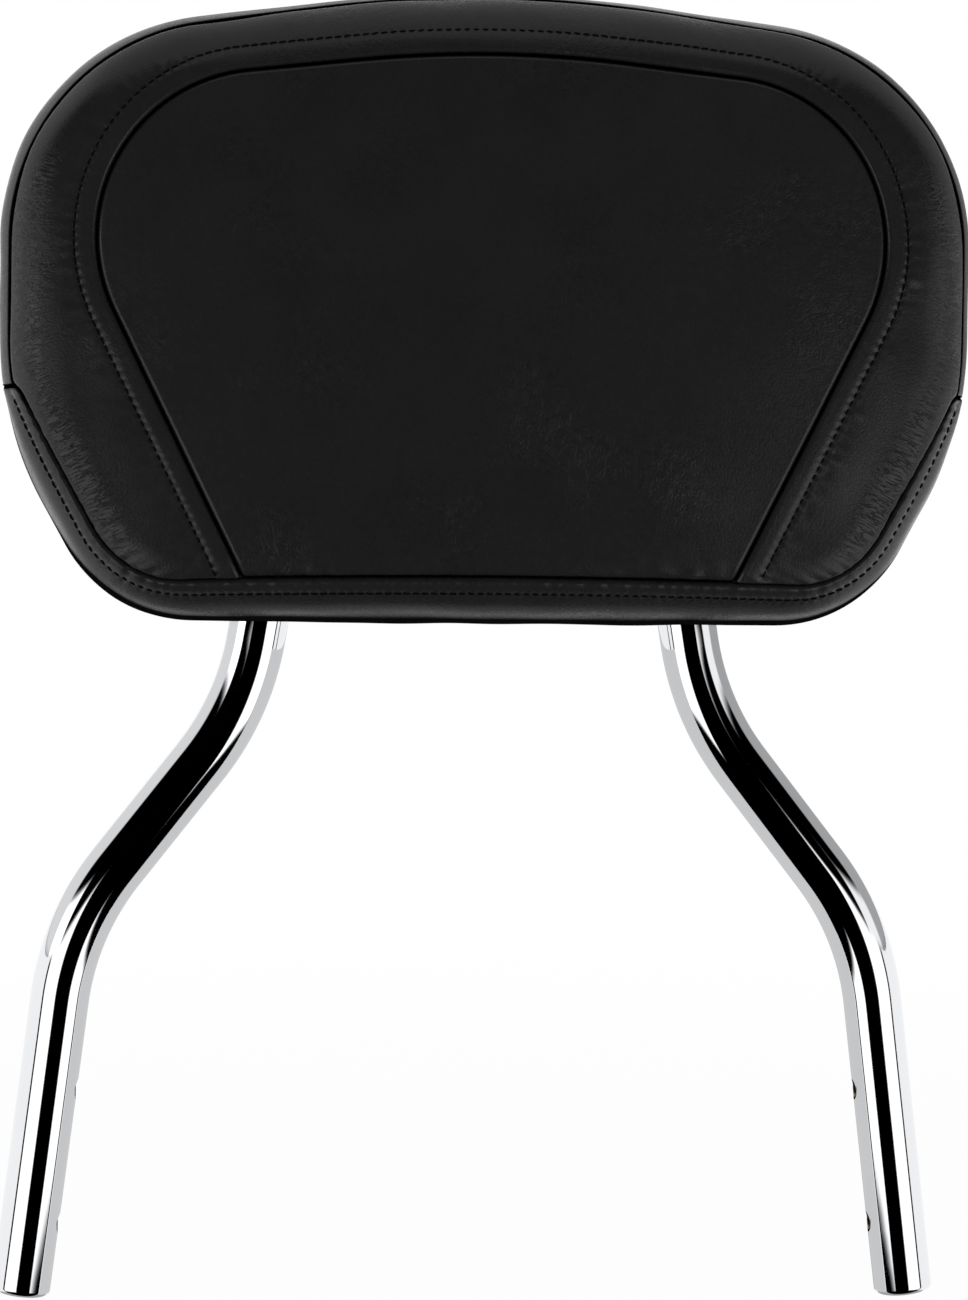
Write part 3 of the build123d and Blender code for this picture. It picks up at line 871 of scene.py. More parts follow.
class PadLines:
    """The pad's outline and seams, worked out once for the pieces of the cover."""

    def __init__(self):
        self.pad = settings().pad
        self.cover = settings().cover
        self.outline = pad_outline(self.pad)
        out = left_of(headings(self.outline, closed=True))
        self.slope = crown_slope(self.pad, self.outline, out)
        self.edge = front_edge(self.pad, self.cover, self.outline)
        self.panel = panel_line(self.pad, self.cover, self.edge)
        self.swell = None

    def depth(self, places):
        """Depth of the smooth front at plane points: the crown, or the roll where that is lower."""
        pad = self.pad
        inset, place = nearest(places, self.outline)
        slope = np.interp(place, running(self.outline), self.slope)
        crown = crown_depth(pad, places)
        short = np.clip(pad.roll - inset, 0, pad.roll)
        roll = roll_centre(pad, crown, slope, inset) + np.sqrt(pad.roll**2 - short**2)
        touch = pad.roll * (1 - slope / np.sqrt(1 + slope**2))
        return np.where(inset < touch, roll, crown), inset

    def lift(self, places):
        """How far the stuffing lifts the cover at plane points, read from the swelling's map."""
        if self.swell is None:
            return np.full(places.shape[:-1], self.cover.plump)
        x0, z0, step, table = self.swell
        u = np.clip((places[..., 0] - x0) / step, 0, table.shape[0] - 1.001)
        v = np.clip((places[..., 1] - z0) / step, 0, table.shape[1] - 1.001)
        i, j = u.astype(int), v.astype(int)
        a, b = u - i, v - j
        low = table[i, j] * (1 - a) + table[i + 1, j] * a
        high = table[i, j + 1] * (1 - a) + table[i + 1, j + 1] * a
        return self.cover.plump + low * (1 - b) + high * b


def worked_mesh(piece):
    """A piece's mesh with its modifiers worked out."""
    view = bpy.context.evaluated_depsgraph_get()
    return bpy.data.meshes.new_from_object(piece.evaluated_get(view))


def mesh_points(mesh):
    """A mesh's points as an array."""
    flat = np.zeros(len(mesh.vertices) * 3, np.float32)
    mesh.vertices.foreach_get("co", flat)
    return flat.reshape(-1, 3).astype(float)


def stuff(lines):
    """Swells the cushion with cloth: a shell of its form is remeshed evenly, held along the seams
    and the back, blown up a little, and the lift of its front kept as a map over the plane."""
    pad, cover = lines.pad, lines.cover
    cols = evenly(lines.outline, 181)[:-1]
    count = len(cols)
    roll = 1 - 0.14 * np.cos(np.linspace(0.3, np.pi / 2, 9))
    places = cols[None] * np.concatenate([np.linspace(0.02, 0.86, 14), roll])[:, None, None]
    front, _ = lines.depth(places)
    back = cols[None] * np.linspace(1, 0.02, 14)[:, None, None]
    rear = np.full(back.shape[:2], PAD_HEM)
    points = np.concatenate([pad_point(pad, places, front), pad_point(pad, back, rear)])
    caps = [np.broadcast_to(points[k].mean(0), (1, count, 3)) for k in (0, -1)]
    points = np.concatenate([caps[0], points, caps[1]])
    mesh = bpy.data.meshes.new("stuffing")
    quads = grid_faces(len(points), count, around=True)
    mesh.from_pydata(points.reshape(-1, 3), [], quads.tolist())
    work = bmesh.new()
    work.from_mesh(mesh)
    bmesh.ops.remove_doubles(work, verts=work.verts, dist=1e-5)
    bmesh.ops.dissolve_degenerate(work, dist=1e-6, edges=work.edges)
    bmesh.ops.recalc_face_normals(work, faces=work.faces)
    work.to_mesh(mesh)
    work.free()
    shell = bpy.data.objects.new("stuffing", mesh)
    scene = bpy.context.scene
    scene.collection.objects.link(shell)
    remesh = shell.modifiers.new("even", "REMESH")
    remesh.mode = "VOXEL"
    remesh.voxel_size = 5 * MM
    shell.data = worked_mesh(shell)
    shell.modifiers.clear()
    rest = mesh_points(shell.data)
    flat = np.stack([rest[:, 0], rest[:, 2] - pad.centre], -1)
    hold = 3.5 * MM
    held = (nearest(flat, lines.panel)[0] < hold) | (nearest(flat, lines.edge)[0] < hold)
    held |= -rest[:, 1] < PAD_FRONT - cover.edge_seam
    group = shell.vertex_groups.new(name="held")
    group.add(np.flatnonzero(held).tolist(), 1.0, "REPLACE")
    cloth = shell.modifiers.new("cover", "CLOTH")
    cloth.settings.vertex_group_mass = "held"
    cloth.settings.use_pressure = True
    cloth.settings.uniform_pressure_force = 4
    cloth.settings.effector_weights.gravity = 0
    cloth.settings.tension_stiffness = 25
    cloth.settings.compression_stiffness = 25
    cloth.settings.bending_stiffness = 2
    last = 20
    cloth.point_cache.frame_end = last
    for number in range(1, last + 1):
        scene.frame_set(number)
    moved = mesh_points(worked_mesh(shell))
    scene.frame_set(1)
    bpy.data.objects.remove(shell)
    step = 4 * MM
    front = -rest[:, 1] > PAD_FRONT - cover.edge_seam - step
    lift = np.clip(-(moved - rest)[front, 1], 0, None)
    lift *= min(1.0, cover.swell / max(np.percentile(lift, 99), 1e-9))
    x0, z0 = -pad.half_width - step, pad.bottom - step
    wide = int(2 * (pad.half_width + step) / step) + 2
    tall = int((pad.top - pad.bottom + 2 * step) / step) + 2
    across_x, up_z = x0 + step * np.arange(wide), z0 + step * np.arange(tall)
    grid = np.stack(np.meshgrid(across_x, up_z, indexing="ij"), -1)
    gap = ((grid.reshape(-1, 1, 2) - flat[front][None]) ** 2).sum(-1)
    blur = 3.2 * MM
    weight = np.exp(-gap / (2 * blur**2)) + 1e-12
    lines.swell = (x0, z0, step, (weight @ lift / weight.sum(1)).reshape(wide, tall))


def lip(gap, radius, depth):
    """Quarter-round fall of an edge into a seam, none beyond its radius."""
    x = 1 - np.clip(gap / radius, 0, 1)
    return -depth * (1 - np.sqrt(np.maximum(1 - x * x, 0)))


def shade_of(gap, width):
    """How far a place lies in a seam's shade: all in its bottom, none beyond its width."""
    return 1 - smooth(gap, 0.35 * width, width)


def edge_shade(inset):
    """Width of the shade along the front's edge: wide where the seam is seen from the side."""
    return (1.5 - 0.95 * smooth(inset, 3 * MM, 9 * MM)) * MM


def stand_off(inset):
    """Share of the cover's stand-off from the foam: none at the silhouette, all on the front."""
    return smooth(inset, 0, 14 * MM)


def stitch_beat(place, pitch):
    """Wave along a row of stitches, 1 at the needle holes and -1 amid the stitches."""
    return np.cos(2 * np.pi * place / pitch)


def row_at(grid, gaps, gap):
    """The line on a grid where each column's gap from its seam has a value."""
    rows = np.clip((gaps < gap).sum(0) - 1, 0, len(grid) - 2)
    cols = np.arange(grid.shape[1])
    low, high = gaps[rows, cols], gaps[rows + 1, cols]
    part = np.clip((gap - low) / np.maximum(high - low, 1e-9), 0, 1)[:, None]
    return grid[rows, cols] * (1 - part) + grid[rows + 1, cols] * part


def stitch_row(name, path, normals, cover):
    """A row of stitches on a line: each a short round strand that bows up between its two holes.

    Strand: c(s) + lift (1 - s^2) n + r(s) (cos a side + sin a n), s from -1 to 1.
    """
    run = running(path)
    count = int(run[-1] / cover.pitch)
    middles = (np.arange(count) + 0.5) * cover.pitch

    def at_middles(values):
        return np.stack([np.interp(middles, run, values[:, k]) for k in range(3)], -1)

    centre = at_middles(path)
    up = unit(at_middles(normals))
    ahead = unit(at_middles(np.gradient(path, axis=0)))
    aside = unit(np.cross(up, ahead))
    skew = np.random.default_rng(11).normal(0, 0.05, (count, 1))
    ahead = unit(ahead + aside * skew)
    steps, sides = 7, 6
    s = np.linspace(-1, 1, steps)[:, None]
    turn = np.linspace(0, 2 * np.pi, sides, endpoint=False)[:, None]
    thin = cover.thread / 2 * np.sqrt(np.maximum(1 - np.abs(s) ** 4, 0.02))
    bow = 0.42 * MM * (1 - s**2) - 0.22 * MM
    centre, up, ahead, aside = (values[:, None] for values in (centre, up, ahead, aside))
    axis = centre + ahead * (0.46 * cover.pitch * s) + up * bow
    ring = aside * np.cos(turn) + up * np.sin(turn)
    strands = axis[:, :, None] + ring[:, None] * thin[:, :, None]
    one = grid_faces(steps, sides, around=True)
    quads = (one + (np.arange(count) * steps * sides)[:, None, None]).reshape(-1, 4)
    thread = kept("bonded_thread", thread_finish)
    piece_from(name, strands.reshape(-1, 3), quads[:, ::-1], thread)


class SISSY_OT_front(bpy.types.Operator):
    """Make the front of the cover: the centre panel, the bolster round it and their stitches"""

    bl_idname = "sissy.front"
    bl_label = "Front of the cover"

    def execute(self, context):
        lines = PadLines()
        stuff(lines)
        vinyl = kept("grained_vinyl", vinyl_finish)
        self.make_panel(lines, vinyl)
        self.make_bolster(lines, vinyl)
        return {"FINISHED"}

    def make_panel(self, lines, vinyl):
        """Centre panel: rings that shrink from its seam to its middle, p = m + (b - m)(1 - k)."""
        pad, cover = lines.pad, lines.cover
        low = lines.edge[lines.edge[:, 1] < 0]
        low = low[np.abs(low[:, 0]) <= np.abs(lines.panel[-1, 0])]
        low = low[np.argsort(-low[:, 0])]
        border = evenly(np.vstack([lines.panel, low, lines.panel[:1]]), 781)[:-1]
        shrink = in_runs((0, 0.05, 15), (0.05, 0.16, 10), (0.16, 0.985, 30))
        places = border[None] * (1 - shrink)[:, None, None]
        depth, _ = lines.depth(places)
        side_gap, side_place = nearest(places, lines.panel)
        foot_gap, foot_place = nearest(places, low)
        relief = lines.lift(places)
        beat = stitch_beat(side_place, cover.pitch * 1.1)
        relief += lip(side_gap - 0.15 * MM, 1.5 * MM, cover.seam * (1 + 0.06 * beat))
        beat = stitch_beat(foot_place, cover.pitch)
        relief += lip(foot_gap, 1.7 * MM, cover.seam * (1 + 0.1 * beat))
        relief -= 0.35 * MM * np.exp(-foot_gap / (4 * MM)) * (1 + 0.5 * waves(places, 9 * MM, 3))
        relief += 0.10 * MM * waves(places, 55 * MM, 5)
        points = pad_point(pad, places, depth + relief)
        centre = np.broadcast_to(points[-1].mean(0), (1, points.shape[1], 3))
        points = np.concatenate([points, centre])
        quads = grid_faces(*points.shape[:2], around=True)
        # Painted shade in the seams: the vinyl is darker there and has no gloss.
        painted_shade = np.maximum(shade_of(side_gap, 0.75 * MM), shade_of(foot_gap, 0.8 * MM))
        layers = {"rolled": 0 * painted_shade, "along": side_place, "over": side_gap, "painted_shade": painted_shade}
        layers = {name: np.concatenate([rows, rows[-1:]]) for name, rows in layers.items()}
        points = points.reshape(-1, 3)
        quads = turned_to(FORWARD, points, quads)
        piece = piece_from(
            "centre_panel_cover", points, quads, vinyl, ["centre_panel"], layers
        )

    def make_bolster(self, lines, vinyl):
        """Bolster: columns that run square out from the panel's seam to the front's edge."""
        pad, cover = lines.pad, lines.cover
        seam = lines.panel
        base = evenly(seam, 961)
        out = left_of(headings(base))
        reach = ray_reach(base, out, lines.edge)
        run = running(base)
        from_foot = np.minimum(run, run[-1] - run)
        reach = np.minimum(reach, 2.2 * from_foot + 0.02 * MM)
        near = in_runs((0, 1.8, 9), (1.8, 5.4, 6), (5.4, 9.2, 14)) * MM
        far = 25 * MM * (1 - np.sin(np.linspace(0, np.pi / 2, 26)))
        tip = np.concatenate([far[far > 2.2 * MM], np.linspace(2.2, 0, 9) * MM])
        least = near[-1] + tip[0] + 4 * MM
        full = np.maximum(reach, least)
        middle = near[-1] + (full - tip[0] - near[-1])[None] * np.linspace(0, 1, 12)[1:-1, None]
        gaps = np.concatenate(
            [np.repeat(near[:, None], len(base), 1), middle, full[None] - tip[:, None]]
        )
        gaps = gaps * (reach / full)[None]
        places = base[None] + out[None] * gaps[..., None]
        depth, inset = lines.depth(places)
        smooth_points = pad_point(pad, places, depth)
        normals = grid_normals(smooth_points)
        normals *= np.sign(-(normals[..., 1]).mean())
        steps = np.linalg.norm(np.diff(smooth_points, axis=0), axis=-1)
        from_edge = np.concatenate([np.cumsum(steps[::-1], axis=0)[::-1], np.zeros((1, len(base)))])
        stitch_line = row_at(smooth_points, gaps, cover.topstitch)
        stitch_run = running(stitch_line)
        beat = stitch_beat(stitch_run, cover.pitch)[None]
        relief = lines.lift(places) * stand_off(inset)
        seam_beat = stitch_beat(run, cover.pitch * 1.1)[None]
        relief += lip(gaps - 0.15 * MM, 1.4 * MM, cover.seam * (1.15 + 0.06 * seam_beat))
        strip = smooth(gaps, 0, 1.7 * MM)
        strip *= 1 - smooth(gaps, cover.topstitch - 3 * MM, cover.topstitch + 3 * MM)
        relief += cover.fold * strip
        relief -= hump(gaps, cover.topstitch, 1.1 * MM) * (0.2 + 0.15 * beat) * MM
        tug = waves_along(stitch_run, 5.5 * MM, 21)
        relief += 0.07 * MM * tug * hump(gaps, cover.topstitch + 2.5 * MM, 2.6 * MM)
        edge_seam = cover.seam * (0.6 + 0.15 * smooth(inset[-1], 3 * MM, 9 * MM))
        edge_lip = (1.9 - 0.6 * smooth(inset[-1], 3 * MM, 9 * MM)) * MM
        relief += lip(from_edge, edge_lip, edge_seam * (1 + 0.15 * seam_beat))
        gather = smooth(-places[..., 1], 20 * MM, 50 * MM)
        edge_tug = waves_along(run, 4 * MM, 23)
        relief += 0.1 * MM * edge_tug * np.exp(-from_edge / (5 * MM)) * gather
        relief += 0.14 * MM * waves(smooth_points, 38 * MM, 9)
        points = smooth_points + normals * relief[..., None]
        quads = grid_faces(*gaps.shape)
        aside = smooth(np.abs(places[..., 0]), 90 * MM, 118 * MM)
        aside *= 1 - smooth(np.abs(places[..., 1] + 12 * MM), 42 * MM, 70 * MM)
        crest = 9.5 * MM + 7 * MM * smooth(-places[..., 1], 10 * MM, 40 * MM)
        rolled = hump(inset, crest, 5 * MM) * (0.12 + 0.88 * aside)
        rolled *= smooth(gaps, cover.topstitch + 1 * MM, cover.topstitch + 5 * MM)
        # Painted shade in the panel's seam and in the edge seam: darker vinyl without gloss.
        painted_shade = np.maximum(shade_of(gaps, 0.75 * MM), shade_of(from_edge, edge_shade(inset[-1])))
        along = np.broadcast_to(stitch_run[None], gaps.shape)
        layers = {"rolled": rolled, "along": along, "over": gaps, "painted_shade": painted_shade}
        flat = points.reshape(-1, 3)
        quads = turned_to(FORWARD, flat, quads)
        piece = piece_from(
            "bolster_cover", flat, quads, vinyl, ["bolster_panel"], layers
        )
        wide = reach > cover.topstitch + 0.4 * MM
        path = row_at(points, gaps, cover.topstitch)[wide]
        up = row_at(normals, gaps, cover.topstitch)[wide]
        stitch_row("panel_topstitch", path, unit(up), cover)


class SISSY_OT_bands(bpy.types.Operator):
    """Make the bands round the cushion's sides and their stitches"""

    bl_idname = "sissy.bands"
    bl_label = "Side bands"

    def execute(self, context):
        lines = PadLines()
        pad, cover = lines.pad, lines.cover
        ring = evenly(lines.outline, 1501)
        out = left_of(headings(ring, closed=True))
        start = np.minimum(ray_reach(ring, -out, lines.edge), 19 * MM)
        insets, depths, rolled = self.profile(pad, ring, out, start)
        places = ring[None] - out[None] * insets[..., None]
        points = pad_point(pad, places, depths)
        outward = np.stack([out[:, 0], 0 * out[:, 0], out[:, 1]], -1)
        normals = grid_normals(points)
        normals *= np.sign((normals[rolled + 4] * outward).sum())
        steps = np.linalg.norm(np.diff(points, axis=0), axis=-1)
        gaps = np.concatenate([np.zeros((1, len(ring))), np.cumsum(steps, axis=0)])
        settle = smooth(-depths, -PAD_HEM - 3 * MM, -PAD_HEM)
        off = cover.plump * stand_off(insets)
        off[rolled:] = 0
        from_cross = np.abs(ring[:, 1] - cover.band_start)
        off += lip(from_cross, 1.1 * MM, 0.45 * cover.seam)
        seam = cover.seam * (0.6 + 0.2 * smooth(start, 3 * MM, 9 * MM))
        lower = ring[:, 1] < cover.band_start
        half = len(ring) // 2
        upper = np.flatnonzero(~lower)
        upper = np.concatenate([upper[upper >= half][:-1], upper[upper < half]])
        relief = (off + self.upper_relief(points, gaps, seam)) * (1 - settle)
        # Painted shade: the lower part of the roll is darkened and dulled where it turns away from
        # the front, at the bottom. Distances on the wall behind it count for more, so that the wall
        # keeps its gloss.
        behind = gaps - gaps[rolled - 1]
        wall_weight = 6
        behind = np.where(behind < 0, -behind, wall_weight * behind)
        foot = smooth(-ring[:, 1], 60 * MM, 85 * MM)
        under = 1 - smooth(behind, (4 + 7 * foot) * MM, (8 + 9 * foot) * MM)
        under *= 0.75 * smooth(-ring[:, 1], 22 * MM, 30 * MM)
        # Painted shade also where the side band and the lower band meet.
        under = np.maximum(under, shade_of(from_cross, 1.3 * MM))
        self.make_band("side_band", upper, points, normals, gaps, relief, start, under)
        relief = (off + self.lower_relief(cover, points, gaps, seam)) * (1 - settle)
        lower = np.flatnonzero(lower)
        overlap = 2  # columns that the two bands share, so that no slit opens between them
        lower = np.arange(lower[0] - overlap, lower[-1] + overlap + 1)
        shaped = self.make_band("lower_band", lower, points, normals, gaps, relief, start, under)
        inner = slice(8, -8)
        path = row_at(shaped, gaps[:, lower], cover.band_stitch)[inner]
        up = row_at(normals[:, lower], gaps[:, lower], cover.band_stitch)[inner]
        stitch_row("band_topstitch", path, unit(up), cover)
        return {"FINISHED"}

    @staticmethod
    def profile(pad, ring, out, start):
        """Insets and depths of the bands' profile at each point of the outline, from the seam
        back: the roll's arc from where the seam cuts it, the straight wall, the back's arc and
        the flat hem. Also gives the number of rows on the roll."""
        begin = np.arcsin(np.clip(1 - start / pad.roll, 0, 1))
        sweep = in_runs((0, 0.35, 14), (0.35, 1, 16))
        bend = begin[None] + (np.pi / 2 - begin)[None] * sweep[:, None]
        axis = roll_centre(pad, crown_depth(pad, ring), crown_slope(pad, ring, out), 0)
        roll_depth = axis[None] + pad.roll * np.cos(bend)
        wall_foot = PAD_HEM + pad.back_roll
        wall = roll_depth[-1] + (wall_foot - roll_depth[-1]) * np.linspace(0, 1, 15)[1:, None]
        back = np.linspace(0, np.pi / 2, 10)[1:, None] + 0 * axis
        hem = np.linspace(pad.back_roll, pad.hem, 6)[1:, None] + 0 * axis
        insets = [pad.roll * (1 - np.sin(bend)), 0 * wall, pad.back_roll * (1 - np.cos(back)), hem]
        back_depth = PAD_HEM + pad.back_roll * (1 - np.sin(back))
        depths = [roll_depth, wall, back_depth, PAD_HEM + 0 * hem]
        return np.concatenate(insets), np.concatenate(depths), len(bend)

    @staticmethod
    def upper_relief(points, gaps, seam):
        """Side band: sinks into the seam, then slightly full and uneven."""
        relief = lip(gaps, 1.5 * MM, seam)
        relief += 0.15 * MM * waves(points, 30 * MM, 33) * smooth(gaps, 4 * MM, 14 * MM)
        return relief + 0.4 * MM * hump(gaps, 9 * MM, 6 * MM)

    @staticmethod
    def lower_relief(cover, points, gaps, seam):
        """Lower band: a folded strip from the seam to the stitches, a channel that they pull in,
        then a full roll, with small gathers along the seam."""
        stitch = cover.band_stitch
        run = running(row_at(points, gaps, stitch))
        beat = stitch_beat(run, cover.pitch)[None]
        tug = waves_along(run, 5 * MM, 31)
        relief = lip(gaps, 1.2 * MM, seam * (1 + 0.15 * beat))
        strip = smooth(gaps, 0, 1.5 * MM) * (1 - smooth(gaps, stitch - 2 * MM, stitch + 2 * MM))
        relief += cover.fold * strip
        relief -= hump(gaps, stitch, 1.0 * MM) * (0.2 + 0.15 * beat) * MM
        relief += 0.6 * MM * hump(gaps, stitch + 5.5 * MM, 4.5 * MM)
        relief += 0.13 * MM * tug * np.exp(-gaps / (4 * MM))
        return relief + 0.1 * MM * waves(points, 30 * MM, 33) * smooth(gaps, 6 * MM, 16 * MM)

    @staticmethod
    def make_band(node, cols, points, normals, gaps, relief, start, under):
        """One band from its columns of the profile's grid; returns its points."""
        grid = (points + normals * relief[..., None])[:, cols]
        quads = grid_faces(*grid.shape[:2])
        flat = grid.reshape(-1, 3)
        quads = turned_to(normals[:-1, cols[:-1]].reshape(-1, 3), flat, quads)
        along = np.broadcast_to(running(points[0])[cols][None], grid.shape[:2])
        # Painted shade in the edge seam and along the lower band's rim: darker vinyl without gloss.
        painted_shade = np.maximum(shade_of(gaps, edge_shade(start)), under)[:, cols]
        layers = {"rolled": 0 * painted_shade + 0.2, "along": along, "over": gaps[:, cols], "painted_shade": painted_shade}
        vinyl = kept("grained_vinyl", vinyl_finish)
        piece = piece_from(f"{node}_cover", flat, quads, vinyl, [node], layers)
        return grid


class SISSY_OT_hardware(bpy.types.Operator):
    """Give the plugs, straps, fasteners, pan and back cover their finishes"""

    bl_idname = "sissy.hardware"
    bl_label = "Hardware"

    def execute(self, context):
        finishes = settings().finishes
        chrome = kept("polished_chrome", chrome_finish)
        weld = chrome_finish("plated_weld", ripple=0.7)
        zinc = metal_finish("bright_zinc", tuple(finishes.zinc), 0.28, 0.12)
        brass = metal_finish("turned_brass", tuple(finishes.brass), 0.3, 0.1)
        wire = metal_finish("staple_wire", tuple(finishes.zinc), 0.35, 0.15)
        black = metal_finish("black_zinc", (0.03, 0.03, 0.032), 0.4, 0.2)
        plastic = plastic_finish()
        finish_of = {
            "left_leg_plug": chrome,
            "right_leg_plug": chrome,
            "upper_cross_strap": chrome,
            "lower_cross_strap": chrome,
            "strap_welds": weld,
            "pad_bolts": zinc,
            "flat_washers": zinc,
            "spring_washers": zinc,
            "threaded_inserts": brass,
            "base_pan": plastic,
            "back_cover": plastic,
            "foam_core": foam_finish(),
            "hem_staples": wire,
            "back_cover_screws": black,
        }
        for name, material in finish_of.items():
            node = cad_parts[name]
            node.data.materials.clear()
            node.data.materials.append(material)
        return {"FINISHED"}


# Stage


MIDDLE = np.array([0, 0, 0.2])


def stage_piece(name, points, quads, material):
    """A mesh that belongs to the stage and not to the bar."""
    mesh = bpy.data.meshes.new(name)
    mesh.from_pydata(points.tolist(), [], quads.tolist())
    mesh.materials.append(material)
    piece = bpy.data.objects.new(name, mesh)
    bpy.context.scene.collection.objects.link(piece)
    return piece


def stage_material(name):
    """A material with only an output, its tree, and a way to join a shader to that output."""
    material = bpy.data.materials.new(name)
    material.use_nodes = True
    tree = material.node_tree
    tree.nodes.remove(tree.nodes["Principled BSDF"])

    def show(shader):
        fill(tree, tree.nodes["Material Output"], {"Surface": shader.outputs[0]})

    return material, tree, show


def mixed(tree, factor, first, second):
    """Two shaders put together."""
    inputs = {"Fac": factor, 1: first.outputs[0], 2: second.outputs[0]}
    return new_node(tree, "ShaderNodeMixShader", inputs)


def direction(turn, rise):
    """Unit vectors at a turn round the bar from its front, and a rise: (s c, -c c, s)."""
    level_part = np.cos(rise)
    return np.stack([np.sin(turn) * level_part, -np.cos(turn) * level_part, np.sin(rise)], -1)


def aimed(place, away, roll):
    """Matrix of a camera or lamp at a place that looks along -away, rolled about its view."""
    right = unit(np.cross([0, 0, 1], away))
    up = np.cross(away, right)
    turned = right * np.cos(roll) + up * np.sin(roll)
    upright = up * np.cos(roll) - right * np.sin(roll)
    matrix = np.eye(4)
    matrix[:3] = np.stack([turned, upright, away, place], -1)
    return Matrix(matrix.tolist())


class SISSY_OT_stage(bpy.types.Operator):
    """Set the floor, the light and the camera"""

    bl_idname = "sissy.stage"
    bl_label = "Stage"

    def execute(self, context):
        scene = context.scene
        stage = settings().stage
        scene.view_settings.view_transform = "Standard"
        self.set_world(scene, stage)
        self.set_floor(stage)
        self.set_tent(stage)
        self.set_lights(scene, stage)
        self.set_camera(scene, stage)
        return {"FINISHED"}

    def set_world(self, scene, stage):
        """White all round for the camera and for reflections, softer for the light it gives."""
        world = bpy.data.worlds.new("studio")
        scene.world = world
        world.use_nodes = True
        tree = world.node_tree
        white = (1, 1, 1, 1)
        light = tree.nodes["Background"]
        fill(tree, light, {"Color": white, "Strength": stage.ambient})
        backdrop = new_node(tree, "ShaderNodeBackground", {"Color": white, "Strength": 1})
        rays = new_node(tree, "ShaderNodeLightPath").outputs
        seen = rays["Is Camera Ray"]
        for kind in ("Is Glossy Ray", "Is Transmission Ray"):
            inputs = {0: seen, 1: rays[kind]}
            seen = new_node(tree, "ShaderNodeMath", inputs, operation="MAXIMUM").outputs["Value"]
        mix = mixed(tree, seen, light, backdrop)
        fill(tree, tree.nodes["World Output"], {"Surface": mix.outputs[0]})

    def set_floor(self, stage):
        """A round floor whose far part glows white, so that no horizon shows; near the bar it is
        mostly a white glow that still takes the bar's shadow."""
        material, tree, show = stage_material("floor")
        matt = new_node(tree, "ShaderNodeBsdfDiffuse", {"Color": (*stage.floor, 1)})
        glow = new_node(tree, "ShaderNodeEmission", {"Strength": 1})
        place = new_node(tree, "ShaderNodeTexCoord").outputs["Object"]
        reach = new_node(tree, "ShaderNodeVectorMath", {0: place}, operation="LENGTH")
        fade = {"From Min": 0.25, "From Max": 1.1, "To Min": 0.97, "To Max": 1}
        fade["Value"] = reach.outputs["Value"]
        fade = new_node(tree, "ShaderNodeMapRange", fade, interpolation_type="SMOOTHSTEP")
        show(mixed(tree, fade.outputs["Result"], matt, glow))
        turn = np.linspace(0, 2 * np.pi, 65)[:-1]
        radii = np.array([0.0, 0.2, 0.5, 1, 2, 5, 14])[:, None]
        low = CAD_BOX[0][2] - 0.4 * MM
        points = np.stack([radii * np.cos(turn), radii * np.sin(turn), low + 0 * radii * turn], -1)
        quads = grid_faces(*points.shape[:2], around=True)
        floor = stage_piece("floor", points.reshape(-1, 3), quads, material)
        floor.visible_glossy = False

    def set_tent(self, stage):
        """A round tent that shows only in reflections: black before the bar, with a low softbox
        at each side for the legs and a high one further round for the pad, a dim roof and ground,
        and open to the white low at the sides and behind. A grey card stands behind the bar's
        middle, between the legs."""
        material, tree, show = stage_material("tent")
        level = new_node(tree, "ShaderNodeAttribute", attribute_name="glow").outputs["Fac"]
        show(new_node(tree, "ShaderNodeEmission", {"Strength": level}))
        turn, rise = np.meshgrid(np.arange(-180, 181, 1.0), np.arange(-90, 91, 1.0))
        aside = np.abs(turn)
        low = smooth(aside, 26, 28) * (1 - smooth(aside, 68, 70))
        low *= smooth(rise, -35, -31) * (1 - smooth(rise, -3, 1))
        beyond = smooth(aside, 82, 88)
        high = smooth(aside, 54, 57) * (1 - beyond) * (1 - smooth(rise, 8, 14)) + 0.4 * beyond
        high *= smooth(rise, -3, 1) * np.where(turn < 0, stage.left_glow, stage.right_glow)
        rear = (aside > 169) & (np.abs(rise) < 35)
        covered = (aside < np.where(rise < -1, 76, 150)) | (np.abs(rise) > 45) | rear
        glows = np.where(rear, stage.rear_glow, stage.softbox_glow * low + high)
        glows = np.where(rise > 50, stage.roof_glow, glows)
        glows = np.where((rise < -45) & (aside > 76), stage.ground_glow, glows)
        points = direction(np.radians(turn), np.radians(rise)) * 0.9 + MIDDLE
        quads = grid_faces(*points.shape[:2])[(covered[:-1, :-1] & covered[1:, 1:]).ravel()]
        card = np.array([(0, -0.03, -0.15), (0, 1.2, -0.15), (0, 1.2, 0.17), (0, -0.03, 0.17)])
        for name, corners, faces, levels in (
            ("tent", points.reshape(-1, 3), quads, glows.ravel()),
            ("card", card, np.array([[0, 1, 2, 3]]), np.full(4, stage.card_glow)),
        ):
            piece = stage_piece(name, corners, faces, material)
            layer = piece.data.attributes.new("glow", "FLOAT", "POINT")
            layer.data.foreach_set("value", levels.astype(np.float32))
            for kind in ("camera", "diffuse", "shadow", "transmission"):
                setattr(piece, f"visible_{kind}", False)

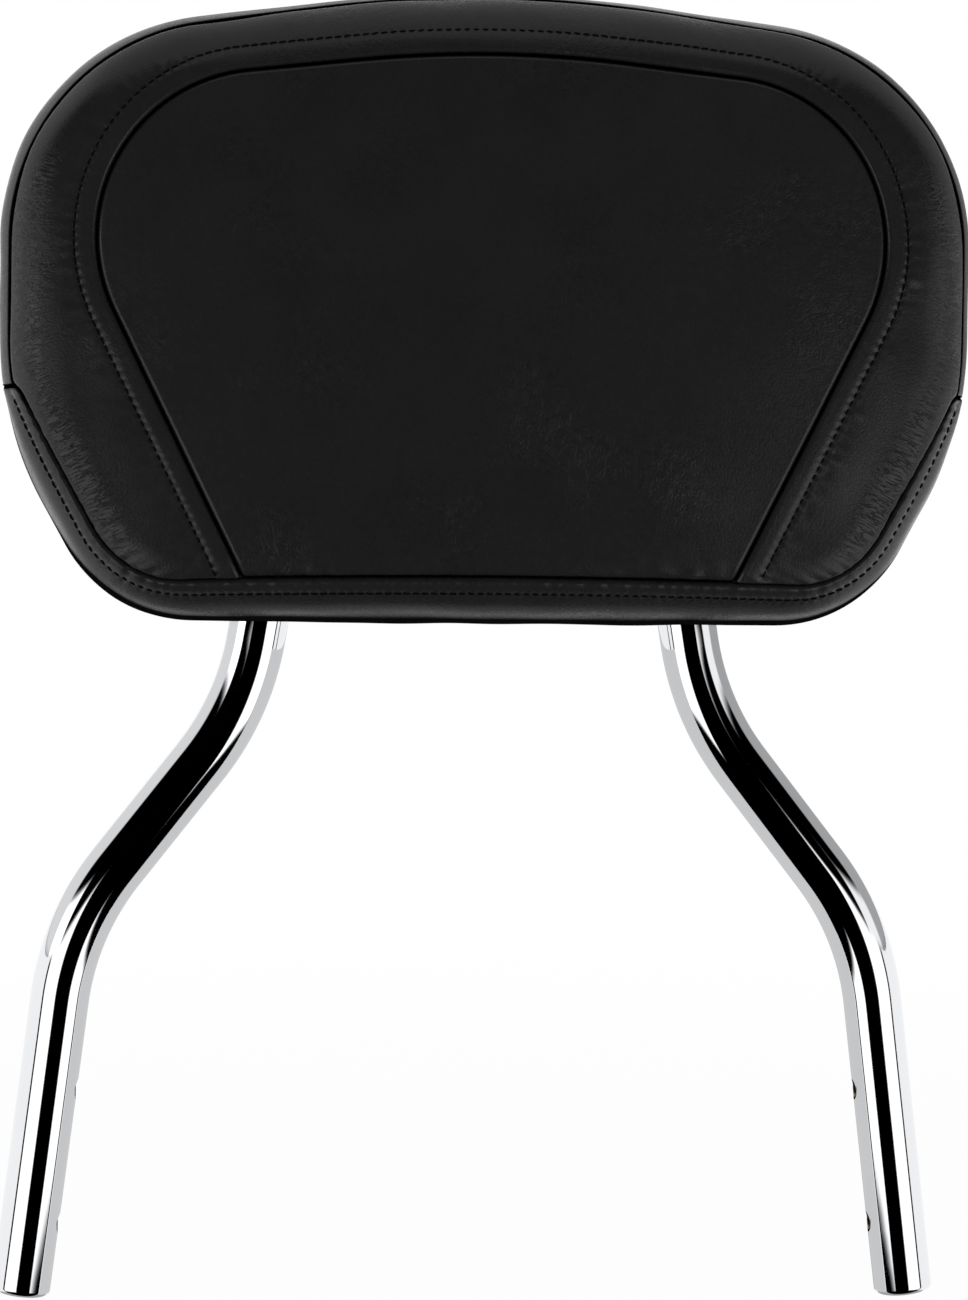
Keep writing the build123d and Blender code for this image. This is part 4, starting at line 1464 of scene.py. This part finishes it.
    def set_lights(self, scene, stage):
        """Two tall softboxes before the bar, left and right, a top light and a fill behind."""
        plan = [
            ("left_softbox", -48, 8, 1.6, (1.24, 1.3), 1.0),
            ("right_softbox", 48, 8, 1.6, (1.24, 1.3), 1.0),
            ("top_light", 10, 72, 1.6, (0.9, 0.6), 0.35),
            ("rear_left_fill", 215, 25, 1.8, (1.0, 1.0), 0.6),
            ("rear_right_fill", 145, 25, 1.8, (1.0, 1.0), 0.6),
        ]
        for name, turn, rise, far, size, strength in plan:
            lamp = bpy.data.lights.new(name, "AREA")
            lamp.shape = "RECTANGLE"
            lamp.size, lamp.size_y = size
            lamp.energy = stage.softbox * strength
            away = direction(np.radians(turn), np.radians(rise))
            lamp_object = bpy.data.objects.new(name, lamp)
            lamp_object.matrix_world = aimed(MIDDLE + away * far, away, 0)
            lamp_object.visible_camera = False
            lamp_object.visible_glossy = False
            scene.collection.objects.link(lamp_object)

    def set_camera(self, scene, stage):
        """A level view from the front, a little to the left, as the bar was photographed."""
        away = direction(stage.azimuth, stage.elevation)
        lens = bpy.data.cameras.new("view")
        lens.sensor_fit = "VERTICAL"
        lens.sensor_height = 36
        lens.lens = stage.lens
        lens.clip_start = 0.05
        lens.clip_end = 60
        camera = bpy.data.objects.new("view", lens)
        aim = np.array([stage.aim_x, 0, stage.aim_z])
        camera.matrix_world = aimed(aim + away * stage.distance, away, stage.roll)
        scene.collection.objects.link(camera)
        scene.camera = camera


class SissyBarSettings(bpy.types.PropertyGroup):
    """All the sizes and colours of the bar and its stage"""

    hoop: PointerProperty(type=HoopSizes)
    pad: PointerProperty(type=PadSizes)
    cover: PointerProperty(type=CoverSizes)
    finishes: PointerProperty(type=Finishes)
    stage: PointerProperty(type=StageSettings)


class SISSY_PT_panel(bpy.types.Panel):
    """Sizes, colours and makers of the bar"""

    bl_idname = "SISSY_PT_panel"
    bl_label = "Sissy bar"
    bl_space_type = "VIEW_3D"
    bl_region_type = "UI"
    bl_category = "Sissy bar"

    def draw(self, context):
        layout = self.layout
        for maker in MAKERS:
            layout.operator(maker.bl_idname)
        for group in ("hoop", "pad", "cover", "finishes", "stage"):
            values = getattr(context.scene.sissy_bar, group)
            box = layout.box()
            for key in values.__annotations__:
                box.prop(values, key)


MAKERS = [
    SISSY_OT_hoop,
    SISSY_OT_bungs,
    SISSY_OT_front,
    SISSY_OT_bands,
    SISSY_OT_hardware,
    SISSY_OT_stage,
]
CLASSES = [
    HoopSizes,
    PadSizes,
    CoverSizes,
    Finishes,
    StageSettings,
    SissyBarSettings,
    *MAKERS,
    SISSY_PT_panel,
]


def register():
    for item in CLASSES:
        bpy.utils.register_class(item)
    bpy.types.Scene.sissy_bar = PointerProperty(type=SissyBarSettings)


def unregister():
    del bpy.types.Scene.sissy_bar
    for item in reversed(CLASSES):
        bpy.utils.unregister_class(item)


def main():
    register()
    bpy.ops.sissy.hoop()
    bpy.ops.sissy.bungs()
    bpy.ops.sissy.front()
    bpy.ops.sissy.bands()
    bpy.ops.sissy.hardware()
    bpy.ops.sissy.stage()


if __name__ == "__main__":
    main()
